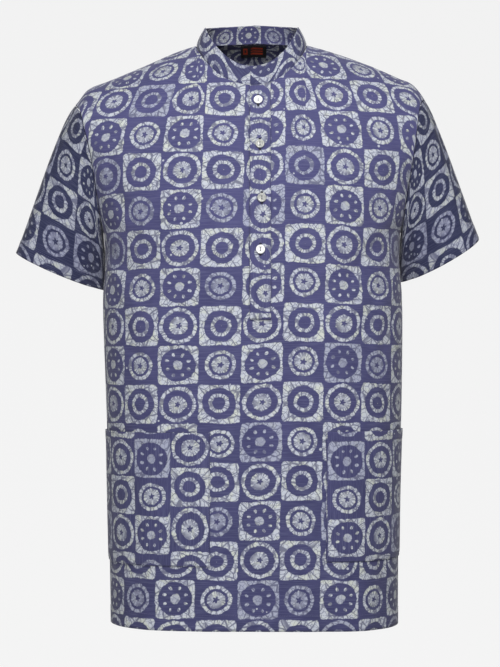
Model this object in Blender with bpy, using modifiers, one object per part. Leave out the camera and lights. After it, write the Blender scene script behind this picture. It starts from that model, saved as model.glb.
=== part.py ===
"""Short kurta: a straight cotton tunic with short sleeves, a band collar and two patch pockets.

Every piece of cloth is a curved wall. Its points lie on one garment form, which the functions
below work out from named sizes, and Solidify gives it the thickness. Units are metres, +Z is up
and the front faces -Y. The origin lies on the line between the two shoulder ends of the neck
seam, midway, which is where the wearer's neck and shoulders hold the garment up.
"""
import math

import bmesh
import bpy
from mathutils import Matrix, Vector

# Which way a panel faces, and which side of the centre a point lies, as seen from the front
FRONT = -1
BACK = 1
LEFT = 0
RIGHT = 1

# Cloth and clearances
CLOTH = 0.0013            # wall of one panel
FACED_CLOTH = 0.0016      # wall of the doubled band collar
SEAM_GAP = 0.0003         # between two pieces that are sewn edge to edge
CORNER_EASE = 0.0004      # more room at the underarm, where four edges meet
LAY_GAP = 0.0005          # between a panel and what is sewn on top of it

# The body tube
HEM_Z = -0.742
HEM_SAG = (0.0020, 0.0042)  # how much lower the hem hangs at the left side and at the right
UNDERARM_Z = -0.243
DEPTH = {FRONT: 0.125, BACK: 0.122}
ROUNDNESS = 2.3           # power of the oval section: 2 is an ellipse, more is squarer
SIDES = (                 # height, half width on the left, half width on the right
    (-0.742, 0.1835, 0.1885),
    (-0.589, 0.1866, 0.1896),
    (-0.474, 0.1892, 0.1930),
    (-0.370, 0.1930, 0.1944),
    (-0.325, 0.1938, 0.1938),
    (-0.285, 0.1915, 0.1910),
    (-0.243, 0.1930, 0.1920),
)

# The yoke, from the underarm level (rise 0) to the shoulder ridge (rise 1)
CENTRE_POWER = {FRONT: 1.6, BACK: 3.0}
ARMHOLE_POWER = 2.2
ARMHOLE_SHARE = 0.75      # depth of the armhole edge against the centre, at the shoulder
ARMHOLE = (               # rise, half width at the edge on the left, on the right
    (0.00, 0.1930, 0.1920),
    (0.25, 0.1990, 0.1975),
    (0.50, 0.2054, 0.2050),
    (0.70, 0.2135, 0.2095),
    (0.85, 0.2195, 0.2135),
    (0.95, 0.2255, 0.2190),
    (1.00, 0.2295, 0.2245),
)
SHOULDER = (              # distance from the centre, ridge height on the left, on the right
    (0.0000, 0.0220, 0.0220),
    (0.0735, 0.0010, 0.0010),
    (0.1000, -0.0080, -0.0066),
    (0.1300, -0.0212, -0.0169),
    (0.1600, -0.0342, -0.0285),
    (0.1900, -0.0466, -0.0420),
    (0.2050, -0.0520, -0.0482),
    (0.2150, -0.0583, -0.0583),
    (0.2250, -0.0715, -0.0735),
    (0.2300, -0.0775, -0.0810),
)

# The neck seam seen from above, and the band collar on it
NECK_HALF = (0.0735, 0.0710)
NECK_DEPTH = {FRONT: 0.075, BACK: 0.055}
NECK_POWER = 2.4
BACK_NECK_RISE = 0.0115   # how much the neck seam climbs from the shoulders to the nape
BAND_HEIGHT = {FRONT: 0.0255, BACK: 0.0215}
BAND_LEAN = 0.85          # the top of the band against its foot, seen from above
BAND_OVER_X = -0.0030     # free end that laps on top
BAND_UNDER_X = 0.0110     # end that lies beneath
BAND_TUCK = 0.0022        # how far the under end lies inside the upper one
BAND_INSET = 0.0010       # the foot of the band stands this far inside the neck edge
BAND_RISE = 0.0005        # and this far above it

# The front opening: a notch in the front panel, two plackets and four buttons
NOTCH_X = (-0.0025, 0.0215)
NOTCH_Z = -0.3420
PLACKET_X = (-0.0034, 0.0090, 0.0227)
PLACKET_Z = -0.3557
STAND_SLIT = 0.0025       # the slit that is left beside the button stand
BUTTON_DIAMETER = 0.0114
BUTTON_THICKNESS = 0.0024
BUTTON_RIM = 0.0011
BUTTON_DISH = 0.0006
BUTTON_HOLE = 0.0016
BUTTON_HOLE_SPACING = 0.0032
BUTTONS = (               # across, height
    (0.0071, -0.0800),
    (0.0093, -0.1370),
    (0.0114, -0.2046),
    (0.0097, -0.2682),
)

# The patch pockets: inner edge, lower edge, upper edge
POCKETS = {LEFT: (-0.0527, -0.6620, -0.4960), RIGHT: (0.0912, -0.6560, -0.4945)}

# The label in the back neck
LABEL_X = (-0.0155, 0.0187)
LABEL_HEIGHT = 0.0136
LABEL_DROP = 0.0010       # from the neck seam down to the label's upper edge
LABEL_WALL = 0.0010
LABEL_GAP = 0.0014        # it is sewn along the top only, so it stands a little off the cloth

# The sleeves: the middle of the cuff, its outer half width and its front half depth
CUFFS = {
    LEFT: (
        Vector((-0.2485, 0.012, -0.2905)),
        Vector((-0.0575, -0.024, 0.0240)),
        Vector((0, -0.055, -0.0073)),
    ),
    RIGHT: (
        Vector((0.2419, 0.012, -0.2757)),
        Vector((0.0513, -0.024, 0.0274)),
        Vector((0, -0.055, -0.0105)),
    ),
}
ARMHOLE_GAP = 0.0008
UNDERARM_TURN = 0.2       # how far outwards the sleeve starts at the underarm, against down
SLEEVE_START = 0.55       # stiffness of the sleeve's lines where they leave the armhole
SLEEVE_END = 0.75         # and at the cuff

# The largest folds: panel, ends of the fold as across and height, half width, depth
FOLDS = (
    (FRONT, (-0.175, -0.262), (-0.070, -0.360), 0.022, -0.0030),
    (FRONT, (0.180, -0.255), (0.085, -0.330), 0.020, -0.0028),
    (FRONT, (-0.120, -0.380), (-0.135, -0.742), 0.026, 0.0022),
    (FRONT, (0.120, -0.560), (0.130, -0.742), 0.024, 0.0024),
    (FRONT, (0.010, -0.400), (-0.010, -0.742), 0.030, -0.0022),
    (BACK, (-0.170, -0.255), (-0.060, -0.370), 0.022, -0.0030),
    (BACK, (0.175, -0.258), (0.070, -0.350), 0.022, -0.0030),
    (BACK, (-0.080, -0.420), (-0.095, -0.742), 0.030, 0.0030),
    (BACK, (0.085, -0.400), (0.090, -0.742), 0.032, 0.0028),
    (BACK, (0.000, -0.300), (0.005, -0.742), 0.028, -0.0032),
)
SLEEVE_FOLDS = (          # side, angle round the sleeve in degrees, half width, depth
    (LEFT, 62, 14, -0.0026),
    (LEFT, 118, 16, 0.0022),
    (LEFT, 245, 18, -0.0028),
    (RIGHT, 70, 15, -0.0024),
    (RIGHT, 125, 16, 0.0022),
    (RIGHT, 240, 18, -0.0028),
)

# How finely the walls are divided
NECK_COLUMNS = 5
SHOULDER_COLUMNS = 10
BODY_ROWS = 14
YOKE_ROWS = 11
LAST_ROW = 0.02           # the narrow row along a seam that keeps the wall square to it
SLEEVE_POINTS = 32
SLEEVE_RINGS = 11
BAND_COLUMNS = 46
BAND_ROWS = 3
SEARCH_STEPS = 30         # halvings when a place on the form is looked up


def value(table, at, side):
    """Read a table of rows (key, left, right) as a smooth curve."""
    at = min(max(at, table[0][0]), table[-1][0])
    last = len(table) - 1
    row = max(i for i in range(last) if table[i][0] <= at)

    def slope(i):
        low, high = max(i - 1, 0), min(i + 1, last)
        return (table[high][side + 1] - table[low][side + 1]) / (table[high][0] - table[low][0])

    span = table[row + 1][0] - table[row][0]
    t = (at - table[row][0]) / span
    start, end = table[row][side + 1], table[row + 1][side + 1]
    return (start * (1 + 2 * t) * (1 - t) ** 2 + end * t * t * (3 - 2 * t)
            + span * (slope(row) * t * (1 - t) ** 2 - slope(row + 1) * t * t * (1 - t)))


def mix(a, b, t):
    return a + (b - a) * t


def search(low, high, is_above):
    """Halve the range from low, where is_above is false, to high, where it is true."""
    for _ in range(SEARCH_STEPS):
        middle = (low + high) / 2
        if is_above(middle):
            high = middle
        else:
            low = middle
    return (low + high) / 2


def level(z):
    """The row coordinate of a height on the body tube: -1 at the hem, 0 at the underarm."""
    return (z - UNDERARM_Z) / (UNDERARM_Z - HEM_Z)


def back_neck_ridge(x, side, power):
    """The ridge height that brings the back neck seam up to the nape in one smooth curve."""
    half = NECK_HALF[side]
    turn = math.cos(math.asin((x / half) ** (NECK_POWER / 2)))
    seam_z = value(SHOULDER, half, side) + BACK_NECK_RISE * turn ** 1.2
    share = NECK_DEPTH[BACK] / DEPTH[BACK] * turn ** (2 / NECK_POWER)
    return UNDERARM_Z + (seam_z - UNDERARM_Z) / (1 - share ** power) ** (1 / power)


def smooth_form(face, q, r):
    """The outer surface without folds.

    q runs across, from -1 at the left side to 1 at the right. r runs up: -1 at the hem, 0 at
    the underarm level, 1 on the shoulder ridge.
    """
    side = LEFT if q < 0 else RIGHT
    angle = min(abs(q), 1) * math.pi / 2
    across = math.sin(angle) ** (2 / ROUNDNESS)
    if r <= 0:
        z = UNDERARM_Z + r * (UNDERARM_Z - HEM_Z)
        x = across * value(SIDES, z, side)
        z += HEM_SAG[side] * r ** 3 * math.sin(min(abs(q) / 0.75, 1) * math.pi / 2) ** 2
        y = DEPTH[face] * max(math.cos(angle), 0) ** (2 / ROUNDNESS)
    else:
        power = mix(CENTRE_POWER[face], ARMHOLE_POWER, across)
        rise = math.sin(r * math.pi / 2) ** (2 / power)
        fall = max(math.cos(r * math.pi / 2), 0) ** (2 / power)
        half = value(ARMHOLE, rise, side)
        share = ARMHOLE_SHARE * math.sqrt(rise)
        reach = half / (1 - share ** ROUNDNESS) ** (1 / ROUNDNESS)
        x = across * half
        ridge = value(SHOULDER, x, side)
        if face == BACK and x < NECK_HALF[side]:
            ridge = mix(ridge, back_neck_ridge(x, side, power), rise ** 4)
        z = UNDERARM_Z + (ridge - UNDERARM_Z) * rise
        y = DEPTH[face] * fall * max(1 - (x / reach) ** ROUNDNESS, 0) ** (1 / ROUNDNESS)
    y += SEAM_GAP / 2 + CORNER_EASE * max(0, 1 - 12 * abs(r)) * across ** 8
    return Vector((x if side == RIGHT else -x, face * y, z))


def outward(face, q, r):
    """The direction away from the body at a place on the form."""
    step = 0.004
    low_q, high_q = max(q - step, -1), min(q + step, 1)
    low_r, high_r = max(r - step, -1), min(r + step, 1)
    along = smooth_form(face, high_q, r) - smooth_form(face, low_q, r)
    up = smooth_form(face, q, high_r) - smooth_form(face, q, low_r)
    return (along.cross(up) * -face).normalized()


def fold_depth(face, point):
    """How far the folds lift the cloth at a point of the smooth form."""
    lift = 0.0
    here = Vector((point.x, point.z))
    for panel, start, end, width, depth in FOLDS:
        if panel != face:
            continue
        start, end = Vector(start), Vector(end)
        line = end - start
        t = min(max((here - start).dot(line) / line.length_squared, 0), 1)
        away = (here - start - line * t).length
        lift += depth * math.exp(-(away / width) ** 2)
    return lift


def form(face, q, r, lift=0.0):
    """A point of the garment's outer surface, moved out by lift."""
    point = smooth_form(face, q, r)
    edge = min(1.0, (1 - abs(q)) * 12)
    ridge = min(1.0, (1 - r) * 4)
    return point + outward(face, q, r) * (lift + edge * ridge * fold_depth(face, point))


def q_at(face, x, r):
    """The column coordinate of a distance from the centre, at row r."""
    size = search(0, 1, lambda q: abs(smooth_form(face, math.copysign(q, x), r).x) > abs(x))
    return math.copysign(size, x)


def row_at(face, x, z, top):
    """The row coordinate of a place in the yoke, below row top, from its distance and height."""
    return search(0, top, lambda r: smooth_form(face, q_at(face, x, r), r).z > z)


def neck_angle(x):
    """The angle round the neck seam of a distance from the centre, 0 at the centre line."""
    half = NECK_HALF[LEFT if x < 0 else RIGHT]
    return math.asin(min(abs(x) / half, 1) ** (NECK_POWER / 2))


def neck_plan(face, side, angle):
    """The neck seam seen from above: across and depth at an angle from the centre line."""
    x = NECK_HALF[side] * math.sin(angle) ** (2 / NECK_POWER)
    y = NECK_DEPTH[face] * max(math.cos(angle), 0) ** (2 / NECK_POWER)
    return (x if side == RIGHT else -x), y


def neck_row(face, side, angle):
    """The row at which the neck seam crosses the form, at an angle from the centre line."""
    x, y = neck_plan(face, side, angle)
    if y < SEAM_GAP:
        return 1.0
    return search(1, 0.2, lambda r: abs(smooth_form(face, q_at(face, x, r), r).y) > y)


def columns(face, side):
    """The columns of a half panel, from the edge of the front opening to the side.

    Each is (share, top): share is 0 at the opening and 1 at the side, and top is the row at
    which the column ends, at the neck seam or on the shoulder ridge.
    """
    start = neck_angle(NOTCH_X[side])
    found = []
    for i in range(NECK_COLUMNS + 1):
        angle = mix(start, math.pi / 2, i / NECK_COLUMNS)
        top = neck_row(face, side, angle)
        q = abs(q_at(face, neck_plan(face, side, angle)[0], top))
        inner = abs(q_at(face, NOTCH_X[side], top))
        found.append(((q - inner) / (1 - inner), top))
    first = found[-1][0]
    for i in range(1, SHOULDER_COLUMNS + 1):
        found.append((mix(first, 1, i / SHOULDER_COLUMNS), 1.0))
    return found


def column_q(face, side, share, r):
    inner = abs(q_at(face, NOTCH_X[side], r))
    return math.copysign(mix(inner, 1, share), -1 if side == LEFT else 1)


def row_values(top):
    """The rows of a column that ends at top."""
    body = [-1 + i / BODY_ROWS for i in range(BODY_ROWS)]
    yoke = [top * i / YOKE_ROWS for i in range(YOKE_ROWS)]
    return body + yoke + [top * (1 - LAST_ROW), top]


def new_collection(name):
    collection = bpy.data.collections.new(name)
    bpy.context.scene.collection.children.link(collection)
    return collection


def new_material(name, colour, roughness):
    material = bpy.data.materials.new(name)
    material.use_nodes = True
    shader = material.node_tree.nodes["Principled BSDF"]
    shader.inputs["Base Color"].default_value = (*colour, 1)
    shader.inputs["Roughness"].default_value = roughness
    shader.inputs["Metallic"].default_value = 0
    return material


def add_object(name, mesh, material):
    mesh.materials.clear()
    mesh.materials.append(material)
    item = bpy.data.objects.new(name, mesh)
    PARTS.objects.link(item)
    return item


def add_wall(name, rows, thickness, material, closed=False, flip=False, left_out=()):
    """Make a cloth wall from rows of points on its outer side."""
    mesh = bpy.data.meshes.new(name)
    bm = bmesh.new()
    grid = [[bm.verts.new(point) for point in row] for row in rows]
    across = len(rows[0])
    for i in range(len(rows) - 1):
        for j in range(across if closed else across - 1):
            if (i, j) in left_out:
                continue
            k = (j + 1) % across
            corners = [grid[i][j], grid[i][k], grid[i + 1][k], grid[i + 1][j]]
            bm.faces.new(corners[::-1] if flip else corners)
    loose = [vert for vert in bm.verts if not vert.link_faces]
    bmesh.ops.delete(bm, geom=loose, context="VERTS")
    bm.to_mesh(mesh)
    bm.free()
    mesh.shade_smooth()
    item = add_object(name, mesh, material)
    solid = item.modifiers.new("cloth thickness", "SOLIDIFY")
    solid.thickness = thickness
    solid.offset = -1
    return item


def make_panel(name, face):
    """The front or the back: body tube and yoke in one piece, with the armholes cut in."""
    left, right = columns(face, LEFT), columns(face, RIGHT)
    lines = []
    for side, found in ((LEFT, left[::-1]), (RIGHT, right)):
        for share, top in found:
            lines.append([form(face, column_q(face, side, share, r), r) for r in row_values(top)])
    rows = [list(row) for row in zip(*lines)]
    left_out = set()
    if face == FRONT:
        opening = len(left) - 1
        bottom = next(i for i, row in enumerate(rows) if row[opening].z > NOTCH_Z)
        left_out = {(i, opening) for i in range(bottom, len(rows) - 1)}
        for column in (opening, opening + 1):
            rows[bottom][column].z = NOTCH_Z
    material = new_material(name, CLOTH_BLUE, 0.9)
    return add_wall(name, rows, CLOTH, material, flip=face == BACK, left_out=left_out)


def strip_rows(x_values, bottom_z, lift, top_gap):
    """Rows of points on the front, between two edges, from a height up to the neck seam."""
    lines = []
    for x in x_values:
        side = LEFT if x < 0 else RIGHT
        top = neck_row(FRONT, side, neck_angle(x))
        rows = [r for r in row_values(top) if r > level(bottom_z) + 0.01]
        rows = [level(bottom_z)] + rows[:-1] + [top - top_gap]
        lines.append([form(FRONT, q_at(FRONT, x, r), r, lift) for r in rows])
    return [list(row) for row in zip(*lines)]


def make_plackets():
    """The strip that carries the buttonholes, over the notch, and the button stand in it."""
    material = new_material("placket_upper", CLOTH_BLUE, 0.9)
    rows = strip_rows(PLACKET_X, PLACKET_Z, LAY_GAP + CLOTH, 0.004)
    add_wall("placket_upper", rows, CLOTH, material)
    stand = (NOTCH_X[0] + SEAM_GAP, mix(*NOTCH_X, 0.5), NOTCH_X[1] - STAND_SLIT)
    rows = strip_rows(stand, NOTCH_Z + SEAM_GAP, 0.0, 0.004)
    add_wall("placket_under", rows, CLOTH, new_material("placket_under", CLOTH_BLUE, 0.9))


def make_pocket(name, side):
    """A patch pocket, laid on the front and caught in the side seam."""
    inner_x, bottom_z, top_z = POCKETS[side]
    low, high = level(bottom_z), level(top_z)
    between = [r for r in row_values(1.0) if low + 0.01 < r < high - 0.01]
    clear_of_edge = abs(q_at(FRONT, inner_x, low)) + 0.03
    shares = [share for share, _ in columns(FRONT, side)
              if abs(column_q(FRONT, side, share, low)) > clear_of_edge]
    rows = []
    for r in [low] + between + [high]:
        places = [q_at(FRONT, inner_x, r)] + [column_q(FRONT, side, share, r) for share in shares]
        rows.append([form(FRONT, q, r, LAY_GAP + CLOTH) for q in places])
    return add_wall(name, rows, CLOTH, new_material(name, CLOTH_BLUE, 0.9), flip=side == LEFT)


def armhole_point(side, turn):
    """A point of the armhole edge, turn 0 to 360 degrees: top, front, underarm, back."""
    face = FRONT if turn <= 180 else BACK
    r = 1 - turn / 180 if turn <= 180 else turn / 180 - 1
    q = -1 if side == LEFT else 1
    edge = smooth_form(face, q, r)
    leaving = (edge - smooth_form(face, q * 0.985, r)).normalized()
    return edge, leaving, r


def cuff_point(side, turn):
    middle, outer, front = CUFFS[side]
    angle = math.radians(turn)
    return middle + outer * math.cos(angle) + front * math.sin(angle)


def sleeve_point(side, turn, v):
    """A point of the sleeve's outer surface: v is 0 at the armhole and 1 at the cuff."""
    edge, leaving, r = armhole_point(side, turn)
    end = cuff_point(side, turn)
    outwards = Vector((-1 if side == LEFT else 1, 0, 0))
    sewn = mix((outwards + Vector((0, 0, 0.4))).normalized(), leaving, min(1, 1.6 * r))
    start = edge + sewn * ARMHOLE_GAP
    span = (end - start).length
    down = (end - start).normalized()
    heading = mix(down + outwards * UNDERARM_TURN, leaving, min(1, 1.3 * r) ** 1.5).normalized()
    first = heading * span * SLEEVE_START
    last = down * span * SLEEVE_END
    point = (start * (1 + 2 * v) * (1 - v) ** 2 + end * v * v * (3 - 2 * v)
             + first * v * (1 - v) ** 2 - last * v * v * (1 - v))
    lift = 0.0
    for fold_side, middle, width, depth in SLEEVE_FOLDS:
        if fold_side == side:
            away = (turn - middle + 180) % 360 - 180
            lift += depth * math.exp(-(away / width) ** 2) * math.sin(math.pi * min(v * 1.2, 0.9))
    axis = mix(armhole_middle(side), CUFFS[side][0], v)
    return point + (point - axis).normalized() * lift


def armhole_middle(side):
    top, bottom = armhole_point(side, 0)[0], armhole_point(side, 180)[0]
    return (top + bottom) / 2


def make_sleeve(name, side):
    """A short set-in sleeve, a tube from the armhole to the cuff."""
    rows = []
    for i in range(SLEEVE_RINGS):
        v = i / (SLEEVE_RINGS - 1)
        rows.append([sleeve_point(side, 360 * j / SLEEVE_POINTS, v) for j in range(SLEEVE_POINTS)])
    material = new_material(name, CLOTH_BLUE, 0.9)
    return add_wall(name, rows, CLOTH, material, closed=True, flip=side == LEFT)


def band_foot(turn):
    """The neck seam at a turn round the neck: 0 at the centre front, 90 at the right shoulder."""
    turn = turn % 360
    side = RIGHT if turn < 180 else LEFT
    from_front = min(turn, 360 - turn)
    face = FRONT if from_front <= 90 else BACK
    angle = math.radians(from_front if face == FRONT else 180 - from_front)
    x, y = neck_plan(face, side, angle)
    row = neck_row(face, side, angle)
    z = smooth_form(face, q_at(face, x, row), row).z
    return Vector((x, face * y, z))


def band_point(turn, v):
    """A point of the band's outer side: v is 0 at the neck seam and 1 at the top edge."""
    foot = band_foot(turn)
    share = (1 + math.cos(math.radians(turn))) / 2
    height = mix(BAND_HEIGHT[BACK], BAND_HEIGHT[FRONT], share)
    lean = mix(1, BAND_LEAN, v ** 1.3)
    tuck = BAND_TUCK * min(max((turn - 285) / 60, 0), 1) ** 2
    plan = Vector((foot.x, foot.y, 0))
    inset = (tuck + BAND_INSET) / plan.length
    return plan * (lean - inset) + Vector((0, 0, foot.z + BAND_RISE + height * v))


def make_band():
    """The band collar: one strip round the neck whose ends lap at the centre front."""
    start = -math.degrees(neck_angle(BAND_OVER_X))
    end = 360 + math.degrees(neck_angle(BAND_UNDER_X))
    turns = [mix(start, end, i / BAND_COLUMNS) for i in range(BAND_COLUMNS + 1)]
    rows = [[band_point(turn, i / BAND_ROWS) for turn in turns] for i in range(BAND_ROWS + 1)]
    return add_wall("collar_band", rows, FACED_CLOTH, new_material("collar_band", CLOTH_BLUE, 0.9))


def make_label():
    """The woven label, laid inside the back panel under the neck seam."""
    lines = []
    inside = -(CLOTH + LABEL_GAP)
    for i in range(5):
        x = mix(*LABEL_X, i / 4)
        seam = neck_row(BACK, LEFT if x < 0 else RIGHT, neck_angle(x))
        top_z = smooth_form(BACK, q_at(BACK, x, seam), seam).z - LABEL_DROP
        ends = [row_at(BACK, x, z, seam) for z in (top_z - LABEL_HEIGHT, top_z)]
        between = [mix(*ends, 1 / 3), mix(*ends, 2 / 3)]
        lines.append([form(BACK, q_at(BACK, x, r), r, inside) for r in [ends[0]] + between + [ends[1]]])
    rows = [list(row) for row in zip(*lines)]
    return add_wall("neck_label", rows, LABEL_WALL, new_material("neck_label", LABEL_BLACK, 0.7), flip=True)


def make_button_mesh():
    """A turned button with a raised rim, a dished middle and two thread holes, facing +Z."""
    radius = BUTTON_DIAMETER / 2
    profile = bpy.data.meshes.new("button profile")
    points = (
        (0, BUTTON_THICKNESS - BUTTON_DISH),
        (radius - 2 * BUTTON_RIM, BUTTON_THICKNESS - BUTTON_DISH),
        (radius - BUTTON_RIM, BUTTON_THICKNESS),
        (radius - BUTTON_RIM / 3, BUTTON_THICKNESS * 0.88),
        (radius, BUTTON_THICKNESS * 0.5),
        (radius - BUTTON_RIM, 0),
        (0, 0),
    )
    edges = [(i, i + 1) for i in range(len(points) - 1)]
    profile.from_pydata([(x, 0, z) for x, z in points], edges, [])
    turned = bpy.data.objects.new("button blank", profile)
    CUTTERS.objects.link(turned)
    screw = turned.modifiers.new("turn", "SCREW")
    screw.steps = 24
    screw.render_steps = 24
    screw.use_merge_vertices = True
    screw.merge_threshold = 0.00001
    for offset in (-BUTTON_HOLE_SPACING / 2, BUTTON_HOLE_SPACING / 2):
        bm = bmesh.new()
        bmesh.ops.create_cone(bm, cap_ends=True, segments=8, radius1=BUTTON_HOLE / 2, radius2=BUTTON_HOLE / 2,
                              depth=BUTTON_THICKNESS * 3, matrix=Matrix.Translation((0, offset, 0)))
        drill_mesh = bpy.data.meshes.new("thread hole")
        bm.to_mesh(drill_mesh)
        bm.free()
        drill = bpy.data.objects.new("thread hole", drill_mesh)
        drill.hide_render = True
        drill.display_type = "WIRE"
        CUTTERS.objects.link(drill)
        cut = turned.modifiers.new("drill", "BOOLEAN")
        cut.object = drill
        cut.operation = "DIFFERENCE"
        cut.solver = "EXACT"
    evaluated = turned.evaluated_get(bpy.context.evaluated_depsgraph_get())
    mesh = bpy.data.meshes.new_from_object(evaluated)
    mesh.name = "button"
    turned.hide_render = True
    turned.display_type = "WIRE"
    return mesh


def make_buttons():
    """Four buttons on the upper placket, each standing on the cloth and facing out of it."""
    mesh = make_button_mesh()
    for i, (x, z) in enumerate(BUTTONS):
        if z < UNDERARM_Z:
            r = level(z)
        else:
            r = row_at(FRONT, x, z, 0.9)
        q = q_at(FRONT, x, r)
        out = outward(FRONT, q, r)
        seat = form(FRONT, q, r, 2 * LAY_GAP + CLOTH)
        right = Vector((1, 0, 0))
        up = out.cross(right).normalized()
        right = up.cross(out).normalized()
        turn = Matrix((right, up, out)).transposed().to_4x4()
        name = f"button_{i + 1}"
        copy = mesh.copy()
        item = add_object(name, copy, new_material(name, BUTTON_WHITE, 0.3))
        item.matrix_world = Matrix.Translation(seat) @ turn
        copy.shade_smooth()


CLOTH_BLUE = (0.085, 0.08, 0.27)
LABEL_BLACK = (0.01, 0.01, 0.012)
BUTTON_WHITE = (0.75, 0.74, 0.70)

for old in list(bpy.data.objects):
    bpy.data.objects.remove(old, do_unlink=True)
PARTS = new_collection("short_kurta")
CUTTERS = new_collection("cutters")

make_panel("front", FRONT)
make_panel("back", BACK)
make_sleeve("sleeve_left", LEFT)
make_sleeve("sleeve_right", RIGHT)
make_band()
make_plackets()
make_pocket("pocket_left", LEFT)
make_pocket("pocket_right", RIGHT)
make_label()
make_buttons()
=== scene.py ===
# %% [markdown]
# # A short kurta, printed in indigo
#
# This notebook dresses the plain model of a short cotton kurta. The real one is two body panels,
# two short sleeves, a band collar, a half placket with four buttons and two patch pockets, all
# cut from one block-printed cotton. Each piece here is a thin curved sheet of points, worked out
# with numpy on the same form as the plain model, then given creases, a print and its sewing.

import bmesh
import bpy
import numpy as np
from mathutils import Matrix, Vector


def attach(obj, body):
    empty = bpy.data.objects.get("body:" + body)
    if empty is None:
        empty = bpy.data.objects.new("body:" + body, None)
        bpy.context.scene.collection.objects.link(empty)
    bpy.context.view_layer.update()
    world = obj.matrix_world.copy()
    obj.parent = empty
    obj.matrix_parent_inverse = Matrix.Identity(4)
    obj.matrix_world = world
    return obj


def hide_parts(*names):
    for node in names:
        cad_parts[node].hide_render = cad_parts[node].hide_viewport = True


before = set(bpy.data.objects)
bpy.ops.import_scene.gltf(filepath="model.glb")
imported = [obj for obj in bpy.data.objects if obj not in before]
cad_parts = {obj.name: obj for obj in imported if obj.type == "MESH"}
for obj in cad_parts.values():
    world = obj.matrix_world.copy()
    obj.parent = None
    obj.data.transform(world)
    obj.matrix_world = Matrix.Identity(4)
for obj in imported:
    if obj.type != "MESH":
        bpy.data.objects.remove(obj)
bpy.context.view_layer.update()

# %% [markdown]
# ## The camera
#
# The garment was photographed from a few metres away at mid height. A long lens at that distance
# gives the same outline: the oval hem bends up at the sides, because they lie further back.

# %% Camera
CAMERA_PLACE = (-0.00325, -2.6, -0.3725)
FOCAL_PIXELS = 2000.0
LONG_SIDE_PIXELS = 667.0
SENSOR_MM = 36.0

camera_data = bpy.data.cameras.new("camera")
camera_data.sensor_width = SENSOR_MM
camera_data.lens = FOCAL_PIXELS / LONG_SIDE_PIXELS * SENSOR_MM
camera = bpy.data.objects.new("camera", camera_data)
camera.location = CAMERA_PLACE
camera.rotation_euler = (np.pi / 2, 0, 0)
bpy.context.scene.collection.objects.link(camera)
bpy.context.scene.camera = camera
print(f"lens {camera_data.lens:.1f} mm")

# %% [markdown]
# ## The form of the garment
#
# Worn cloth has no simple solid to start from, so its shape comes from measurements: half widths
# at a few heights, the line of the shoulders and the size of the neck. A tailor writes the same
# numbers down. Between them the shape follows smooth curves.

# %% Measurements in metres
FRONT, BACK = -1, 1
CLOTH = 0.0013            # wall of a panel in the plain model
LAY_GAP = 0.0005          # and its gap under what is sewn on top
SEAM_GAP = 0.0003
CORNER_EASE = 0.0004
HEM_Z = -0.742
HEM_SAG = (0.0020, 0.0042)  # the hem hangs a little lower at the left side and at the right
UNDERARM_Z = -0.243
DEPTH = {FRONT: 0.125, BACK: 0.122}
ROUNDNESS = 2.3
SIDES = (                 # height, half width on the left, on the right
    (-0.742, 0.1835, 0.1885),
    (-0.589, 0.1866, 0.1896),
    (-0.474, 0.1892, 0.1930),
    (-0.370, 0.1930, 0.1944),
    (-0.325, 0.1938, 0.1938),
    (-0.285, 0.1915, 0.1910),
    (-0.243, 0.1930, 0.1920),
)
CENTRE_POWER = {FRONT: 1.6, BACK: 3.0}
ARMHOLE_POWER = 2.2
ARMHOLE_SHARE = 0.75
ARMHOLE = (               # rise, half width at the edge on the left, on the right
    (0.00, 0.1930, 0.1920),
    (0.25, 0.1990, 0.1975),
    (0.50, 0.2054, 0.2050),
    (0.70, 0.2135, 0.2095),
    (0.85, 0.2195, 0.2135),
    (0.95, 0.2255, 0.2190),
    (1.00, 0.2295, 0.2245),
)
SHOULDER = (              # distance from the centre, ridge height on the left, on the right
    (0.0000, 0.0220, 0.0220),
    (0.0735, 0.0010, 0.0010),
    (0.1000, -0.0080, -0.0066),
    (0.1300, -0.0212, -0.0169),
    (0.1600, -0.0342, -0.0285),
    (0.1900, -0.0466, -0.0420),
    (0.2050, -0.0520, -0.0482),
    (0.2150, -0.0583, -0.0583),
    (0.2250, -0.0715, -0.0735),
    (0.2300, -0.0775, -0.0810),
)
NECK_HALF = (0.0735, 0.0710)
NECK_DEPTH = {FRONT: 0.075, BACK: 0.055}
NECK_POWER = 2.4
BACK_NECK_RISE = 0.0115

# %% [markdown]
# A table is read as a smooth curve. The curve passes through every row, and its slope at a row is
# the slope between the two rows beside it, so that no row shows as a kink in the cloth.

# %% Read a table as a curve
def mix(a, b, t):
    return a + (b - a) * t


def read_table(table, at, right):
    """Value at a key, from the table's right column where right is true, or else its left."""
    table = np.array(table)
    keys = table[:, 0]
    at = np.clip(at, keys[0], keys[-1])
    row = np.clip(np.searchsorted(keys, at, side="right") - 1, 0, len(keys) - 2)
    below = np.maximum(np.arange(len(keys)) - 1, 0)
    above = np.minimum(np.arange(len(keys)) + 1, len(keys) - 1)
    span = keys[row + 1] - keys[row]
    t = (at - keys[row]) / span
    sides = []
    for column in (1, 2):
        values = table[:, column]
        slope = (values[above] - values[below]) / (keys[above] - keys[below])
        sides.append(values[row] * (1 + 2 * t) * (1 - t) ** 2
                     + values[row + 1] * t * t * (3 - 2 * t)
                     + span * (slope[row] * t * (1 - t) ** 2 - slope[row + 1] * t * t * (1 - t)))
    return np.where(right, sides[1], sides[0])


# %% [markdown]
# ## A point on the cloth
#
# Two numbers name a place on a body panel. q runs across, from -1 at one side seam to 1 at the
# other. r runs up: -1 at the hem, 0 at the underarm and 1 on the shoulder ridge. Below the
# underarm the body is an oval tube. Above it the oval closes in towards the ridge.

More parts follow.
